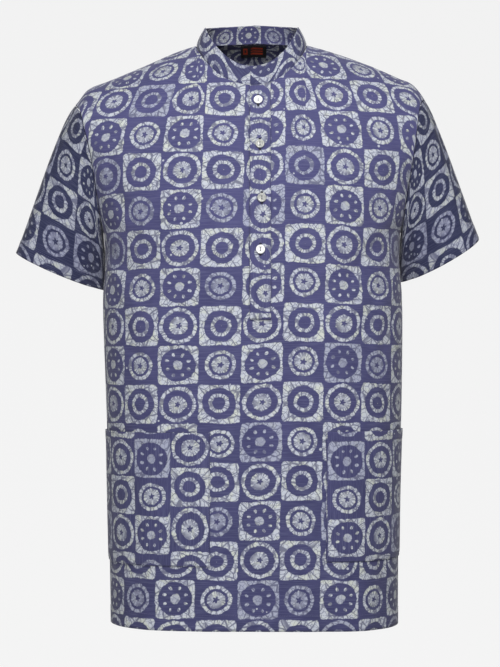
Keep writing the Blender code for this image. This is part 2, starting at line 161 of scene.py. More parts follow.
# %% The smooth form
def back_neck_ridge(x, right, power):
    """Ridge height that brings the back neck seam up to the nape in one smooth curve."""
    half = np.where(right, NECK_HALF[1], NECK_HALF[0])
    turn = np.cos(np.arcsin(np.minimum(x / half, 1) ** (NECK_POWER / 2)))
    seam_z = read_table(SHOULDER, half, right) + BACK_NECK_RISE * turn ** 1.2
    share = NECK_DEPTH[BACK] / DEPTH[BACK] * turn ** (2 / NECK_POWER)
    return UNDERARM_Z + (seam_z - UNDERARM_Z) / (1 - share ** power) ** (1 / power)


def smooth_form(face, q, r):
    """Points of the garment's outer surface without folds, for arrays of q and r."""
    q, r = np.broadcast_arrays(np.asarray(q, float), np.asarray(r, float))
    right = q >= 0
    angle = np.minimum(np.abs(q), 1) * np.pi / 2
    across = np.sin(angle) ** (2 / ROUNDNESS)
    tube_z = UNDERARM_Z + r * (UNDERARM_Z - HEM_Z)
    tube_x = across * read_table(SIDES, tube_z, right)
    sag = np.where(right, HEM_SAG[1], HEM_SAG[0]) * np.sin(np.minimum(np.abs(q) / 0.75, 1) * np.pi / 2) ** 2
    tube_z = tube_z + sag * np.minimum(r, 0) ** 3
    tube_y = DEPTH[face] * np.maximum(np.cos(angle), 0) ** (2 / ROUNDNESS)
    climb = np.clip(r, 0, 1) * np.pi / 2
    power = mix(CENTRE_POWER[face], ARMHOLE_POWER, across)
    rise = np.sin(climb) ** (2 / power)
    fall = np.maximum(np.cos(climb), 0) ** (2 / power)
    half = read_table(ARMHOLE, rise, right)
    reach = half / (1 - (ARMHOLE_SHARE * np.sqrt(rise)) ** ROUNDNESS) ** (1 / ROUNDNESS)
    yoke_x = across * half
    ridge = read_table(SHOULDER, yoke_x, right)
    if face == BACK:
        nape = mix(ridge, back_neck_ridge(yoke_x, right, power), rise ** 4)
        ridge = np.where(yoke_x < np.where(right, NECK_HALF[1], NECK_HALF[0]), nape, ridge)
    yoke_z = UNDERARM_Z + (ridge - UNDERARM_Z) * rise
    inward = np.maximum(1 - (yoke_x / reach) ** ROUNDNESS, 0) ** (1 / ROUNDNESS)
    yoke_y = DEPTH[face] * fall * inward
    low = r <= 0
    x, z = np.where(low, tube_x, yoke_x), np.where(low, tube_z, yoke_z)
    y = np.where(low, tube_y, yoke_y) + SEAM_GAP / 2
    y = y + CORNER_EASE * np.maximum(0, 1 - 12 * np.abs(r)) * across ** 8
    return np.stack([np.where(right, x, -x), face * y, z], axis=-1)


# %% Which way the cloth faces
def unit(vectors):
    return vectors / np.maximum(np.linalg.norm(vectors, axis=-1, keepdims=True), 1e-12)


def outward(face, q, r, step=0.004):
    """Unit vectors away from the body."""
    q, r = np.broadcast_arrays(np.asarray(q, float), np.asarray(r, float))
    across = smooth_form(face, np.minimum(q + step, 1), r) - smooth_form(face, np.maximum(q - step, -1), r)
    up = smooth_form(face, q, np.minimum(r + step, 1)) - smooth_form(face, q, np.maximum(r - step, -1))
    return unit(np.cross(across, up) * -face)


# %% [markdown]
# ## Creases
#
# Cloth that hangs from the shoulders shows soft troughs: from the underarms in towards the
# middle, down from the chest, and above the pockets, where the double cloth holds it. Each crease
# is placed as a line with a bow, a half width and a depth. None matches another. The
# back, which nobody photographed, gets creases of the same kinds.

# %% Creases on the body panels
MAIN_FOLDS = (            # panel, start and end as across and height, bow, half width, depth
    (FRONT, (-0.175, -0.262), (-0.070, -0.360), 0.0, 0.022, -0.0030),
    (FRONT, (0.180, -0.255), (0.085, -0.330), 0.0, 0.020, -0.0028),
    (FRONT, (-0.120, -0.380), (-0.135, -0.742), 0.0, 0.026, 0.0022),
    (FRONT, (0.120, -0.560), (0.130, -0.742), 0.0, 0.024, 0.0024),
    (FRONT, (0.010, -0.400), (-0.010, -0.742), 0.0, 0.030, -0.0022),
    (BACK, (-0.170, -0.255), (-0.060, -0.370), 0.0, 0.022, -0.0030),
    (BACK, (0.175, -0.258), (0.070, -0.350), 0.0, 0.022, -0.0030),
    (BACK, (-0.080, -0.420), (-0.095, -0.742), 0.0, 0.030, 0.0030),
    (BACK, (0.085, -0.400), (0.090, -0.742), 0.0, 0.032, 0.0028),
    (BACK, (0.000, -0.300), (0.005, -0.742), 0.0, 0.028, -0.0032),
)
CREASES = (
    (FRONT, (-0.186, -0.235), (-0.118, -0.282), 0.006, 0.0070, -0.0016),
    (FRONT, (-0.188, -0.268), (-0.128, -0.352), 0.008, 0.0085, -0.0018),
    (FRONT, (-0.186, -0.305), (-0.150, -0.400), 0.005, 0.0075, -0.0013),
    (FRONT, (-0.183, -0.150), (-0.150, -0.232), -0.005, 0.0080, -0.0015),
    (FRONT, (0.186, -0.238), (0.126, -0.300), -0.006, 0.0080, -0.0017),
    (FRONT, (0.188, -0.275), (0.140, -0.372), -0.007, 0.0085, -0.0016),
    (FRONT, (0.182, -0.148), (0.152, -0.226), 0.005, 0.0075, -0.0014),
    (FRONT, (0.186, -0.330), (0.160, -0.425), -0.004, 0.0070, -0.0012),
    (FRONT, (-0.085, -0.045), (-0.108, -0.120), 0.004, 0.0090, -0.0011),
    (FRONT, (0.088, -0.042), (0.105, -0.112), -0.004, 0.0085, -0.0011),
    (FRONT, (-0.062, -0.150), (-0.074, -0.300), 0.005, 0.0120, -0.0010),
    (FRONT, (0.064, -0.170), (0.078, -0.330), -0.004, 0.0110, -0.0009),
    (FRONT, (-0.100, -0.395), (-0.108, -0.485), 0.005, 0.0090, -0.0013),
    (FRONT, (-0.042, -0.420), (-0.040, -0.560), -0.006, 0.0120, -0.0012),
    (FRONT, (0.052, -0.450), (0.060, -0.640), 0.006, 0.0130, -0.0013),
    (FRONT, (0.135, -0.400), (0.128, -0.480), -0.004, 0.0090, -0.0012),
    (FRONT, (-0.150, -0.560), (-0.146, -0.742), 0.004, 0.0100, -0.0012),
    (FRONT, (-0.070, -0.600), (-0.080, -0.742), -0.005, 0.0110, -0.0014),
    (FRONT, (0.028, -0.590), (0.036, -0.742), 0.004, 0.0100, -0.0011),
    (FRONT, (0.092, -0.640), (0.090, -0.742), -0.003, 0.0090, -0.0012),
    (FRONT, (0.162, -0.600), (0.158, -0.742), 0.004, 0.0090, -0.0011),
    (FRONT, (-0.030, -0.352), (0.006, -0.366), 0.003, 0.0060, -0.0009),
    (FRONT, (0.046, -0.350), (0.018, -0.364), -0.003, 0.0055, -0.0008),
    (BACK, (-0.186, -0.238), (-0.112, -0.292), 0.007, 0.0080, -0.0017),
    (BACK, (-0.188, -0.280), (-0.130, -0.372), 0.008, 0.0085, -0.0016),
    (BACK, (0.186, -0.236), (0.120, -0.286), -0.006, 0.0075, -0.0017),
    (BACK, (0.188, -0.276), (0.138, -0.362), -0.007, 0.0085, -0.0018),
    (BACK, (-0.176, -0.110), (-0.150, -0.205), -0.006, 0.0090, -0.0014),
    (BACK, (0.175, -0.112), (0.148, -0.215), 0.006, 0.0085, -0.0014),
    (BACK, (-0.052, -0.020), (-0.090, -0.085), 0.005, 0.0090, -0.0010),
    (BACK, (0.050, -0.022), (0.088, -0.080), -0.005, 0.0085, -0.0010),
    (BACK, (-0.045, -0.330), (-0.038, -0.520), 0.007, 0.0120, -0.0014),
    (BACK, (0.042, -0.350), (0.050, -0.560), -0.006, 0.0130, -0.0013),
    (BACK, (-0.130, -0.450), (-0.140, -0.742), 0.005, 0.0110, -0.0014),
    (BACK, (0.132, -0.480), (0.138, -0.742), -0.005, 0.0110, -0.0013),
    (BACK, (-0.050, -0.600), (-0.052, -0.742), 0.004, 0.0100, -0.0012),
    (BACK, (0.045, -0.620), (0.040, -0.742), -0.004, 0.0105, -0.0012),
)


def crease_lift(face, x, z):
    """How far folds and creases lift the cloth, for places on the smooth form."""
    lift = np.zeros(np.shape(x))
    for kind in (MAIN_FOLDS, CREASES):
        for panel, (x0, z0), (x1, z1), bow, width, depth in kind:
            if panel != face:
                continue
            length = np.hypot(x1 - x0, z1 - z0)
            run, drop = (x1 - x0) / length, (z1 - z0) / length
            along = (x - x0) * run + (z - z0) * drop
            t = np.clip(along / length, 0, 1)
            aside = (z - z0) * run - (x - x0) * drop - bow * 4 * t * (1 - t)
            away = np.hypot(aside, along - t * length)
            lift += depth * np.exp(-(away / width) ** 2)
    return lift


def form(face, q, r, lift=0.0):
    """Points of the creased surface, moved out by lift. Seams stay where they are."""
    points = smooth_form(face, q, r)
    edge = np.minimum(1, (1 - np.abs(q)) * 12)
    ridge = np.minimum(1, (1 - r) * 4)
    creases = edge * ridge * crease_lift(face, points[..., 0], points[..., 2])
    return points + outward(face, q, r) * (lift + creases)[..., None]


# %% [markdown]
# ## Finding a place
#
# The placket and the neck seam are measured in metres, not in q and r. Halving a range again and
# again finds the q or r that gives a wanted distance. With numpy it does so for many places at once.

# %% Look up places on the form
HALVINGS = 26


def level(z):
    return (z - UNDERARM_Z) / (UNDERARM_Z - HEM_Z)


def search(low, high, is_past):
    """Halve between low, where is_past is false, and high, where it is true."""
    for _ in range(HALVINGS):
        middle = (low + high) / 2
        past = is_past(middle)
        high = np.where(past, middle, high)
        low = np.where(past, low, middle)
    return (low + high) / 2


def q_at(face, x, r):
    """Column of a distance from the centre, at row r."""
    x, r = np.broadcast_arrays(np.asarray(x, float), np.asarray(r, float))
    sign = np.where(x < 0, -1.0, 1.0)
    size = search(np.zeros(x.shape), np.ones(x.shape),
                  lambda q: np.abs(smooth_form(face, q * sign, r)[..., 0]) > np.abs(x))
    return size * sign


def neck_angle(x):
    """Angle round the neck seam of a distance from the centre, 0 at the centre line."""
    half = np.where(np.asarray(x) < 0, NECK_HALF[0], NECK_HALF[1])
    return np.arcsin(np.minimum(np.abs(x) / half, 1) ** (NECK_POWER / 2))


def neck_plan(face, right, angle):
    """Across and depth of the neck seam, seen from above."""
    half = np.where(right, NECK_HALF[1], -NECK_HALF[0])
    return (half * np.sin(angle) ** (2 / NECK_POWER),
            NECK_DEPTH[face] * np.maximum(np.cos(angle), 0) ** (2 / NECK_POWER))


def neck_row(face, right, angle):
    """Row at which the neck seam crosses the form, at an angle from the centre line."""
    x, y = neck_plan(face, right, angle)
    found = search(np.ones(np.shape(x)), np.full(np.shape(x), 0.2),
                   lambda r: np.abs(smooth_form(face, q_at(face, x, r), r)[..., 1]) > y)
    return np.where(y < SEAM_GAP, 1.0, found)


print("neck seam meets the centre front at row", float(neck_row(FRONT, True, np.array(0.0))))

# %% [markdown]
# ## From points to cloth
#
# A sheet starts as a grid of points. Every grid gets a UV map named "print", measured along the
# cloth, so that the pattern lies on it as on the roll and turns with it over a shoulder. Solidify
# then gives the sheet its thickness, inwards, and its second material slot dresses the inside.

# %% Put a mesh in the scene
def add_object(name, mesh):
    piece = bpy.data.objects.new(name, mesh)
    bpy.context.scene.collection.objects.link(piece)
    return piece


# %% Make a cloth shell
SHELL = 0.0007            # real cambric is thinner still, but a visible edge wants some body


def cloth_shell(name, points, uv, materials, flip=False, closed=False, left_out=None, thickness=SHELL):
    """A mesh from rows of points. A closed tube has one more column in uv than in points."""
    across = points.shape[1]
    i, j = np.meshgrid(np.arange(points.shape[0] - 1), np.arange(uv.shape[1] - 1), indexing="ij")
    if left_out is not None:
        i, j = i[~left_out], j[~left_out]
    i, j = i.ravel(), j.ravel()
    corners = [(i, j), (i, j + 1), (i + 1, j + 1), (i + 1, j)]
    if flip:
        corners.reverse()
    faces = np.stack([a * across + (b % across if closed else b) for a, b in corners], axis=1)
    corner_uv = np.stack([uv[a, b] for a, b in corners], axis=1)
    mesh = bpy.data.meshes.new(name)
    mesh.from_pydata(points.reshape(-1, 3).tolist(), [], faces.tolist())
    layer = mesh.uv_layers.new(name="print")
    layer.data.foreach_set("uv", corner_uv.ravel())
    tidy = bmesh.new()
    tidy.from_mesh(mesh)
    bmesh.ops.delete(tidy, geom=[vert for vert in tidy.verts if not vert.link_faces], context="VERTS")
    tidy.to_mesh(mesh)
    tidy.free()
    mesh.shade_smooth()
    for material in materials:
        mesh.materials.append(material)
    piece = add_object(name, mesh)
    solid = piece.modifiers.new("thickness", "SOLIDIFY")
    solid.thickness = thickness
    solid.offset = -1
    solid.material_offset = len(materials) - 1
    area = sum(polygon.area for polygon in mesh.polygons)
    print(f"{name}: {len(mesh.polygons)} faces, {area:.4f} square metres")
    return piece


# %% Measure along the cloth
def run_along(points, axis):
    """Length along rows (axis 1) or columns (axis 0) of a grid, from its first point."""
    steps = np.linalg.norm(np.diff(points, axis=axis), axis=-1)
    start = np.zeros_like(np.take(steps, [0], axis=axis))
    return np.concatenate([start, np.cumsum(steps, axis=axis)], axis=axis)


def smooth_step(x, low, high):
    t = np.clip((x - low) / (high - low), 0, 1)
    return t * t * (3 - 2 * t)


# %% [markdown]
# ## Small tools for materials
#
# A procedural material is a chain of small sums. These helpers write such a chain in a few words.
# Each takes sockets or plain numbers and gives the socket of its result.

# %% Node helpers
def new_finish(name):
    """A material with its nodes and its shader."""
    material = bpy.data.materials.new(name)
    material.use_nodes = True
    return material, material.node_tree, material.node_tree.nodes["Principled BSDF"]


def plug(tree, socket, value):
    if isinstance(value, bpy.types.NodeSocket):
        tree.links.new(value, socket)
    elif value is not None:
        socket.default_value = value


def maths(tree, operation, *values):
    node = tree.nodes.new("ShaderNodeMath")
    node.operation = operation
    for socket, value in zip(node.inputs, values):
        plug(tree, socket, value)
    return node.outputs[0]


def vectors(tree, operation, *values):
    node = tree.nodes.new("ShaderNodeVectorMath")
    node.operation = operation
    for socket, value in zip(node.inputs, values):
        plug(tree, socket, value)
    return node.outputs["Value"] if operation in {"LENGTH", "DOT_PRODUCT"} else node.outputs["Vector"]


def join_xyz(tree, x, y, z=0.0):
    node = tree.nodes.new("ShaderNodeCombineXYZ")
    for socket, value in zip(node.inputs, (x, y, z)):
        plug(tree, socket, value)
    return node.outputs[0]


def split_xyz(tree, vector):
    node = tree.nodes.new("ShaderNodeSeparateXYZ")
    plug(tree, node.inputs[0], vector)
    return node.outputs[0], node.outputs[1]


def soft_step(tree, value, edge, softness, start=0.0, end=1.0):
    """From start below the edge to end above it, over a band of twice the softness."""
    node = tree.nodes.new("ShaderNodeMapRange")
    node.interpolation_type = "SMOOTHSTEP"
    plug(tree, node.inputs["Value"], value)
    low = maths(tree, "SUBTRACT", edge, softness) if isinstance(edge, bpy.types.NodeSocket) else edge - softness
    high = maths(tree, "ADD", edge, softness) if isinstance(edge, bpy.types.NodeSocket) else edge + softness
    plug(tree, node.inputs["From Min"], low)
    plug(tree, node.inputs["From Max"], high)
    node.inputs["To Min"].default_value = start
    node.inputs["To Max"].default_value = end
    return node.outputs["Result"]


def noise(tree, vector, scale, detail=2.0, roughness=0.5, colour=False):
    node = tree.nodes.new("ShaderNodeTexNoise")
    plug(tree, node.inputs["Vector"], vector)
    node.inputs["Scale"].default_value = scale
    node.inputs["Detail"].default_value = detail
    node.inputs["Roughness"].default_value = roughness
    return node.outputs["Color" if colour else "Fac"]


def cell_edges(tree, vector, scale):
    """Distance to the nearest border of a net of uneven cells."""
    node = tree.nodes.new("ShaderNodeTexVoronoi")
    node.feature = "DISTANCE_TO_EDGE"
    plug(tree, node.inputs["Vector"], vector)
    node.inputs["Scale"].default_value = scale
    return node.outputs["Distance"]


def blend(tree, factor, a, b):
    node = tree.nodes.new("ShaderNodeMix")
    node.data_type = "RGBA"
    plug(tree, node.inputs["Factor"], factor)
    for socket, value in (("A", a), ("B", b)):
        colour_input = next(i for i in node.inputs if i.name == socket and i.type == "RGBA")
        plug(tree, colour_input, value)
    return next(o for o in node.outputs if o.type == "RGBA")


def raise_surface(tree, shader, height, strength, distance):
    bump = tree.nodes.new("ShaderNodeBump")
    bump.inputs["Strength"].default_value = strength
    bump.inputs["Distance"].default_value = distance
    plug(tree, bump.inputs["Height"], height)
    plug(tree, shader.inputs["Normal"], bump.outputs["Normal"])


# %% [markdown]
# ## The block print
#
# The pattern is a traditional two by two check. Wax is stamped on the cloth with carved blocks,
# the cloth is dipped in indigo, and the wax keeps its places white. Where the wax cracked, dye
# crept in as thin veins. A photograph of cloth would do this quickly, but a formula stays sharp
# at any distance and repeats nowhere: it says which of four blocks a place lies in, how far it is
# from the block's middle, and whether wax covered it.
#
# The four blocks are told apart by whether their column and row are odd. A colour ramp with hard
# steps serves as a small table: its red, green and blue hold a block's ring radius, ring half
# width and disc radius.

# %% Sizes of the print, as shares of a block
INDIGO = (0.0600, 0.0585, 0.1540, 1)
# The darkest dye: random patches reach it, and painted shade darkens the dye towards it.
INDIGO_DEEP_AND_PAINTED_SHADE = (0.017, 0.020, 0.056, 1)
WAX_WHITE = (0.435, 0.460, 0.515, 1)
WAX_CREAM = (0.475, 0.500, 0.455, 1)
WAX_CLOUD = (0.210, 0.225, 0.340, 1)
# The veins' colour: painted shade also darkens the white towards it.
VEIN_AND_PAINTED_SHADE = (0.070, 0.073, 0.135, 1)
PAINTED_SHADE_ON_WHITE = 0.32         # how far painted shade also darkens the white
BLOCK_RINGS = (           # for column and row: even even, even odd, odd even, odd odd
    (0.00, (0.000, 0.116, 0.000)),
    (0.25, (0.415, 0.043, 0.222)),
    (0.50, (0.322, 0.043, 0.210)),
    (0.75, (0.206, 0.043, 0.000)),
)
DYE_DISC = 0.402
PETAL_DYE_DISC = 0.428
SQUARE_HALF = 0.492
STAR = 0.064
PETALS = 8
PETAL_RADIUS = 0.283
PETAL_LONG = 0.047
PETAL_WIDE = 0.036
EDGE_SOFTNESS = 0.012
EDGE_WEAR = 0.055         # how far the edges of the wax wander


# %% Where a place lies in its block
def block_place(tree, uv):
    """Parity of column and row, place from the block's middle, and a random value per block."""
    sway = vectors(tree, "SUBTRACT", noise(tree, uv, 1.7, colour=True), (0.5, 0.5, 0.5))
    tremble = vectors(tree, "SUBTRACT", noise(tree, uv, 8.0, detail=3.0, colour=True), (0.5, 0.5, 0.5))
    moved = vectors(tree, "ADD", uv, vectors(tree, "MULTIPLY", sway, (0.10, 0.10, 0)))
    moved = vectors(tree, "ADD", moved, vectors(tree, "MULTIPLY", tremble, (0.055, 0.055, 0)))
    u, v = split_xyz(tree, moved)
    column, row = maths(tree, "FLOOR", u), maths(tree, "FLOOR", v)
    chance = tree.nodes.new("ShaderNodeTexWhiteNoise")
    chance.noise_dimensions = "2D"
    plug(tree, chance.inputs["Vector"], join_xyz(tree, column, row))
    slip = vectors(tree, "SUBTRACT", chance.outputs["Color"], (0.5, 0.5, 0.5))
    slip_x, slip_y = split_xyz(tree, vectors(tree, "MULTIPLY", slip, (0.035, 0.035, 0)))
    x = maths(tree, "SUBTRACT", maths(tree, "SUBTRACT", u, column), 0.5)
    y = maths(tree, "SUBTRACT", maths(tree, "SUBTRACT", v, row), 0.5)
    odd_column = maths(tree, "FLOORED_MODULO", column, 2.0)
    odd_row = maths(tree, "FLOORED_MODULO", row, 2.0)
    place = join_xyz(tree, maths(tree, "ADD", x, slip_x), maths(tree, "ADD", y, slip_y))
    return odd_column, odd_row, join_xyz(tree, x, y), place, chance.outputs["Value"]


# %% Wax or dye
def ring_sizes(tree, odd_column, odd_row):
    table = tree.nodes.new("ShaderNodeValToRGB")
    table.color_ramp.interpolation = "CONSTANT"
    stops = table.color_ramp.elements
    while len(stops) < len(BLOCK_RINGS):
        stops.new(0.9)
    for stop, (position, sizes) in zip(stops, BLOCK_RINGS):
        stop.position = position
        stop.color = (*sizes, 1)
    key = maths(tree, "MULTIPLY_ADD", odd_column, 0.5, maths(tree, "MULTIPLY_ADD", odd_row, 0.25, 0.1))
    plug(tree, table.inputs["Fac"], key)
    colour = tree.nodes.new("ShaderNodeSeparateColor")
    plug(tree, colour.inputs[0], table.outputs["Color"])
    return colour.outputs[0], colour.outputs[1], colour.outputs[2]


def wax_mask(tree, uv, odd_column, odd_row, square_place, place):
    """1 where wax kept the cloth white, 0 where it took the dye."""
    ring, ring_half, disc = ring_sizes(tree, odd_column, odd_row)
    both_even = maths(tree, "LESS_THAN", maths(tree, "ADD", odd_column, odd_row), 0.5)
    wear = maths(tree, "MULTIPLY", maths(tree, "SUBTRACT", noise(tree, uv, 13.0, detail=2.0), 0.5), EDGE_WEAR)
    radius = vectors(tree, "LENGTH", place)
    x, y = split_xyz(tree, place)
    angle = maths(tree, "ARCTAN2", y, x)
    square_x, square_y = split_xyz(tree, square_place)
    corner = [maths(tree, "POWER", maths(tree, "ABSOLUTE", side), 12.0) for side in (square_x, square_y)]
    square_size = maths(tree, "ADD", maths(tree, "POWER", maths(tree, "ADD", *corner), 1 / 12), wear)
    same = maths(tree, "SUBTRACT", 1.0, maths(tree, "ABSOLUTE", maths(tree, "SUBTRACT", odd_column, odd_row)))
    square = maths(tree, "MULTIPLY", same, soft_step(tree, square_size, SQUARE_HALF, EDGE_SOFTNESS, 1, 0))
    hollow = maths(tree, "MULTIPLY_ADD", both_even, PETAL_DYE_DISC - DYE_DISC, DYE_DISC)
    worn_radius = maths(tree, "ADD", radius, wear)
    wax = maths(tree, "MULTIPLY", square, soft_step(tree, worn_radius, hollow, EDGE_SOFTNESS))
    off_ring = maths(tree, "ABSOLUTE", maths(tree, "SUBTRACT", radius, ring))
    off_ring = maths(tree, "ADD", off_ring, wear)
    wax = maths(tree, "MAXIMUM", wax, soft_step(tree, off_ring, ring_half, EDGE_SOFTNESS, 1, 0))
    wax = maths(tree, "MAXIMUM", wax, soft_step(tree, worn_radius, disc, EDGE_SOFTNESS, 1, 0))
    star_radius = maths(tree, "MULTIPLY_ADD", maths(tree, "COSINE", maths(tree, "MULTIPLY", angle, 5.0)), 0.020, STAR)
    star = maths(tree, "MULTIPLY", soft_step(tree, radius, star_radius, EDGE_SOFTNESS, 1, 0),
                 maths(tree, "GREATER_THAN", disc, 0.1))
    wax = maths(tree, "MULTIPLY", wax, maths(tree, "SUBTRACT", 1.0, star))
    step = maths(tree, "MULTIPLY", angle, PETALS / (2 * np.pi))
    aside = maths(tree, "SUBTRACT", maths(tree, "FRACT", step), 0.5)
    aside = maths(tree, "MULTIPLY", maths(tree, "MULTIPLY", aside, 2 * np.pi / PETALS), radius)
    inward = maths(tree, "DIVIDE", maths(tree, "SUBTRACT", radius, PETAL_RADIUS), PETAL_LONG)
    petal = vectors(tree, "LENGTH", join_xyz(tree, maths(tree, "DIVIDE", aside, PETAL_WIDE), inward))
    petals = maths(tree, "MULTIPLY", soft_step(tree, petal, 1.0, 0.25, 1, 0), both_even)
    return maths(tree, "MAXIMUM", wax, petals), radius, angle


# %% [markdown]
# The veins run two ways. Over the rings they point at the middle, because the wax bends there and
# breaks across its width. In the corners they form a net. Both come from the borders of Voronoi
# cells: one in polar coordinates, one in plain ones.

# %% Cracks in the wax
RAYS = 15.0
NET = 8.5                 # cells of the net to a block
VEIN_HALF = (0.000, 0.015)  # half width of a vein, thinnest and thickest


def cracks(tree, uv, radius, angle, chance):
    """1 on a vein of dye, 0 elsewhere."""
    half = maths(tree, "MULTIPLY_ADD", noise(tree, uv, 3.5, detail=2.0), VEIN_HALF[1] - VEIN_HALF[0], VEIN_HALF[0])
    ray = maths(tree, "MULTIPLY_ADD", angle, RAYS / (2 * np.pi), maths(tree, "MULTIPLY", chance, 97.0))
    fan = cell_edges(tree, join_xyz(tree, ray, maths(tree, "MULTIPLY", radius, 2.0)), 1.0)
    fan = maths(tree, "MULTIPLY", maths(tree, "MULTIPLY", fan, radius), 2 * np.pi / RAYS)
    fan = soft_step(tree, fan, maths(tree, "MULTIPLY_ADD", half, 1.15, 0.001), 0.006, 1, 0)
    bent = vectors(tree, "ADD", uv, vectors(tree, "MULTIPLY", noise(tree, uv, 5.0, colour=True), (0.12, 0.12, 0)))
    net = maths(tree, "DIVIDE", cell_edges(tree, bent, NET), NET)
    net = soft_step(tree, net, maths(tree, "MULTIPLY", half, 0.75), 0.005, 1, 0)
    fan = maths(tree, "MULTIPLY", fan, soft_step(tree, radius, 0.14, 0.06, 0.35, 1.0))
    return maths(tree, "MAXIMUM", fan, maths(tree, "MULTIPLY", net, 0.85))


def splashes(tree, uv):
    """1 on the few small drops of wax that fell on the dye."""
    cells = tree.nodes.new("ShaderNodeTexVoronoi")
    cells.inputs["Scale"].default_value = 4.1
    plug(tree, cells.inputs["Vector"], uv)
    pick, _ = split_xyz(tree, cells.outputs["Color"])
    size = maths(tree, "MULTIPLY", maths(tree, "MAXIMUM", maths(tree, "SUBTRACT", pick, 0.80), 0.0), 0.75)
    return soft_step(tree, maths(tree, "SUBTRACT", cells.outputs["Distance"], size), 0.0, 0.02, 1, 0)


# %% [markdown]
# Up close the cloth is a plain weave of cotton threads, some thicker than others. The thick ones
# show as faint lines across the dye, so they tint it as well as raising it.

# %% Printed cotton
BLOCK_LENGTH = 0.05
THREADS = BLOCK_LENGTH / 0.00045


def weave_height(tree, uv):
    """Height of a plain weave, with slubs along the weft."""
    u, v = split_xyz(tree, uv)
    warp = maths(tree, "SINE", maths(tree, "MULTIPLY", u, THREADS * np.pi))
    weft = maths(tree, "SINE", maths(tree, "MULTIPLY", v, THREADS * np.pi))
    over = maths(tree, "MULTIPLY", warp, weft)
    slub = noise(tree, join_xyz(tree, maths(tree, "MULTIPLY", u, 1.6), maths(tree, "MULTIPLY", v, 55.0)), 1.0)
    return over, slub


def printed_cotton(name, scale=1.0, shift=(0.0, 0.0), deep=0.0):
    """Cotton with the block print, scaled and moved in its UV map. deep is painted shade: how much darker it makes the
    dye and the white.
    """
    material, tree, shader = new_finish(name)
    source = tree.nodes.new("ShaderNodeUVMap")
    source.uv_map = "print"
    placed = tree.nodes.new("ShaderNodeMapping")
    placed.inputs["Scale"].default_value = (scale, scale, 1)
    placed.inputs["Location"].default_value = (*shift, 0)
    plug(tree, placed.inputs["Vector"], source.outputs["UV"])
    uv = placed.outputs["Vector"]
    odd_column, odd_row, square_place, place, chance = block_place(tree, uv)
    wax, radius, angle = wax_mask(tree, uv, odd_column, odd_row, square_place, place)
    vein = cracks(tree, uv, radius, angle, chance)
    over, slub = weave_height(tree, source.outputs["UV"])
    pale = soft_step(tree, slub, 0.56, 0.10)
    patchy = soft_step(tree, noise(tree, uv, 0.8, detail=3.0), 0.5, 0.22)
    # The dye grows darker towards the hem, by height alone.
    height = tree.nodes.new("ShaderNodeSeparateXYZ")
    plug(tree, height.inputs[0], tree.nodes.new("ShaderNodeTexCoord").outputs["Object"])
    lower = soft_step(tree, height.outputs["Z"], -0.40, 0.34, 0.38, 0.0)
    uneven = maths(tree, "MULTIPLY_ADD", noise(tree, uv, 3.0, detail=4.0, roughness=0.6), 0.40, -0.20)
    patchy = maths(tree, "MULTIPLY_ADD", patchy, 0.20, uneven)
    # Painted shade: deep darkens the dye, on top of its random patches and its darkening towards the hem.
    dye_and_painted_shade = maths(tree, "ADD", maths(tree, "ADD", patchy, deep), lower)
    dye_and_painted_shade = maths(tree, "MINIMUM", maths(tree, "MAXIMUM", dye_and_painted_shade, 0.0), 1.0)
    dye = blend(tree, dye_and_painted_shade, INDIGO, INDIGO_DEEP_AND_PAINTED_SHADE)
    dye = blend(tree, maths(tree, "MULTIPLY", pale, 0.16), dye, WAX_CLOUD)
    cloud = noise(tree, uv, 3.4, detail=4.0, roughness=0.65)
    faded = maths(tree, "MULTIPLY", maths(tree, "GREATER_THAN", chance, 0.84), 0.62)
    white = blend(tree, soft_step(tree, cloud, 0.44, 0.10), WAX_CREAM, WAX_WHITE)
    dull = maths(tree, "MAXIMUM", maths(tree, "MULTIPLY", soft_step(tree, cloud, 0.64, 0.10), 0.65), faded)
    white = blend(tree, dull, white, WAX_CLOUD)
    white = blend(tree, maths(tree, "MULTIPLY", vein, 0.82), white, VEIN_AND_PAINTED_SHADE)
    # Painted shade: deep also darkens the white towards the vein colour.
    white = blend(tree, deep * PAINTED_SHADE_ON_WHITE, white, VEIN_AND_PAINTED_SHADE)
    dye = blend(tree, maths(tree, "MULTIPLY", splashes(tree, uv), 0.8), dye, WAX_WHITE)
    plug(tree, shader.inputs["Base Color"], blend(tree, wax, dye, white))
    rough = maths(tree, "MULTIPLY_ADD", wax, -0.05, maths(tree, "MULTIPLY_ADD", pale, 0.04, 0.86))
    plug(tree, shader.inputs["Roughness"], rough)
    shader.inputs["Sheen Weight"].default_value = 0.12
    shader.inputs["Sheen Roughness"].default_value = 0.45
    shader.inputs["Specular IOR Level"].default_value = 0.25
    ripple = noise(tree, uv, 1.6, detail=3.0, roughness=0.45)
    relief = maths(tree, "MULTIPLY_ADD", slub, 0.00010, maths(tree, "MULTIPLY", over, 0.00003))
    relief = maths(tree, "MULTIPLY_ADD", ripple, 0.0022, relief)
    raise_surface(tree, shader, relief, 0.8, 1.0)
    return material


cotton = printed_cotton("printed_cotton")
# Painted shade: deep makes the sleeves, the band and the insides darker than the body.
cotton_painted_shade = printed_cotton("printed_cotton_painted_shade", deep=0.92)
cotton_band_painted_shade = printed_cotton("printed_cotton_band_painted_shade", deep=0.5)
cotton_inside_painted_shade = printed_cotton("printed_cotton_inside_painted_shade", scale=1.5, shift=(0.35, 0.1), deep=0.45)
band_inside_painted_shade = printed_cotton("printed_cotton_band_inside_painted_shade", scale=1.5, shift=(1.29, 1.5), deep=0.1)

# %% [markdown]
# ## The body panels
#
# The front and the back are one cut each. Their grids bend with the neck seam: the columns next
# to the neck end on it, the others on the shoulder seam. The rows crowd together at the seams,
# where the cloth rolls in a little, as it does along any row of sewing.

# %% Grid of a body panel
NOTCH_X = (-0.0025, 0.0215)
NOTCH_Z = -0.3420
NECK_COLUMNS = 24
SHOULDER_COLUMNS = 58
NOTCH_COLUMNS = 7
BODY_ROWS = 118
YOKE_ROWS = 84
SEAM_SHARES = (0.972, 0.985, 0.993, 0.998, 1.0)


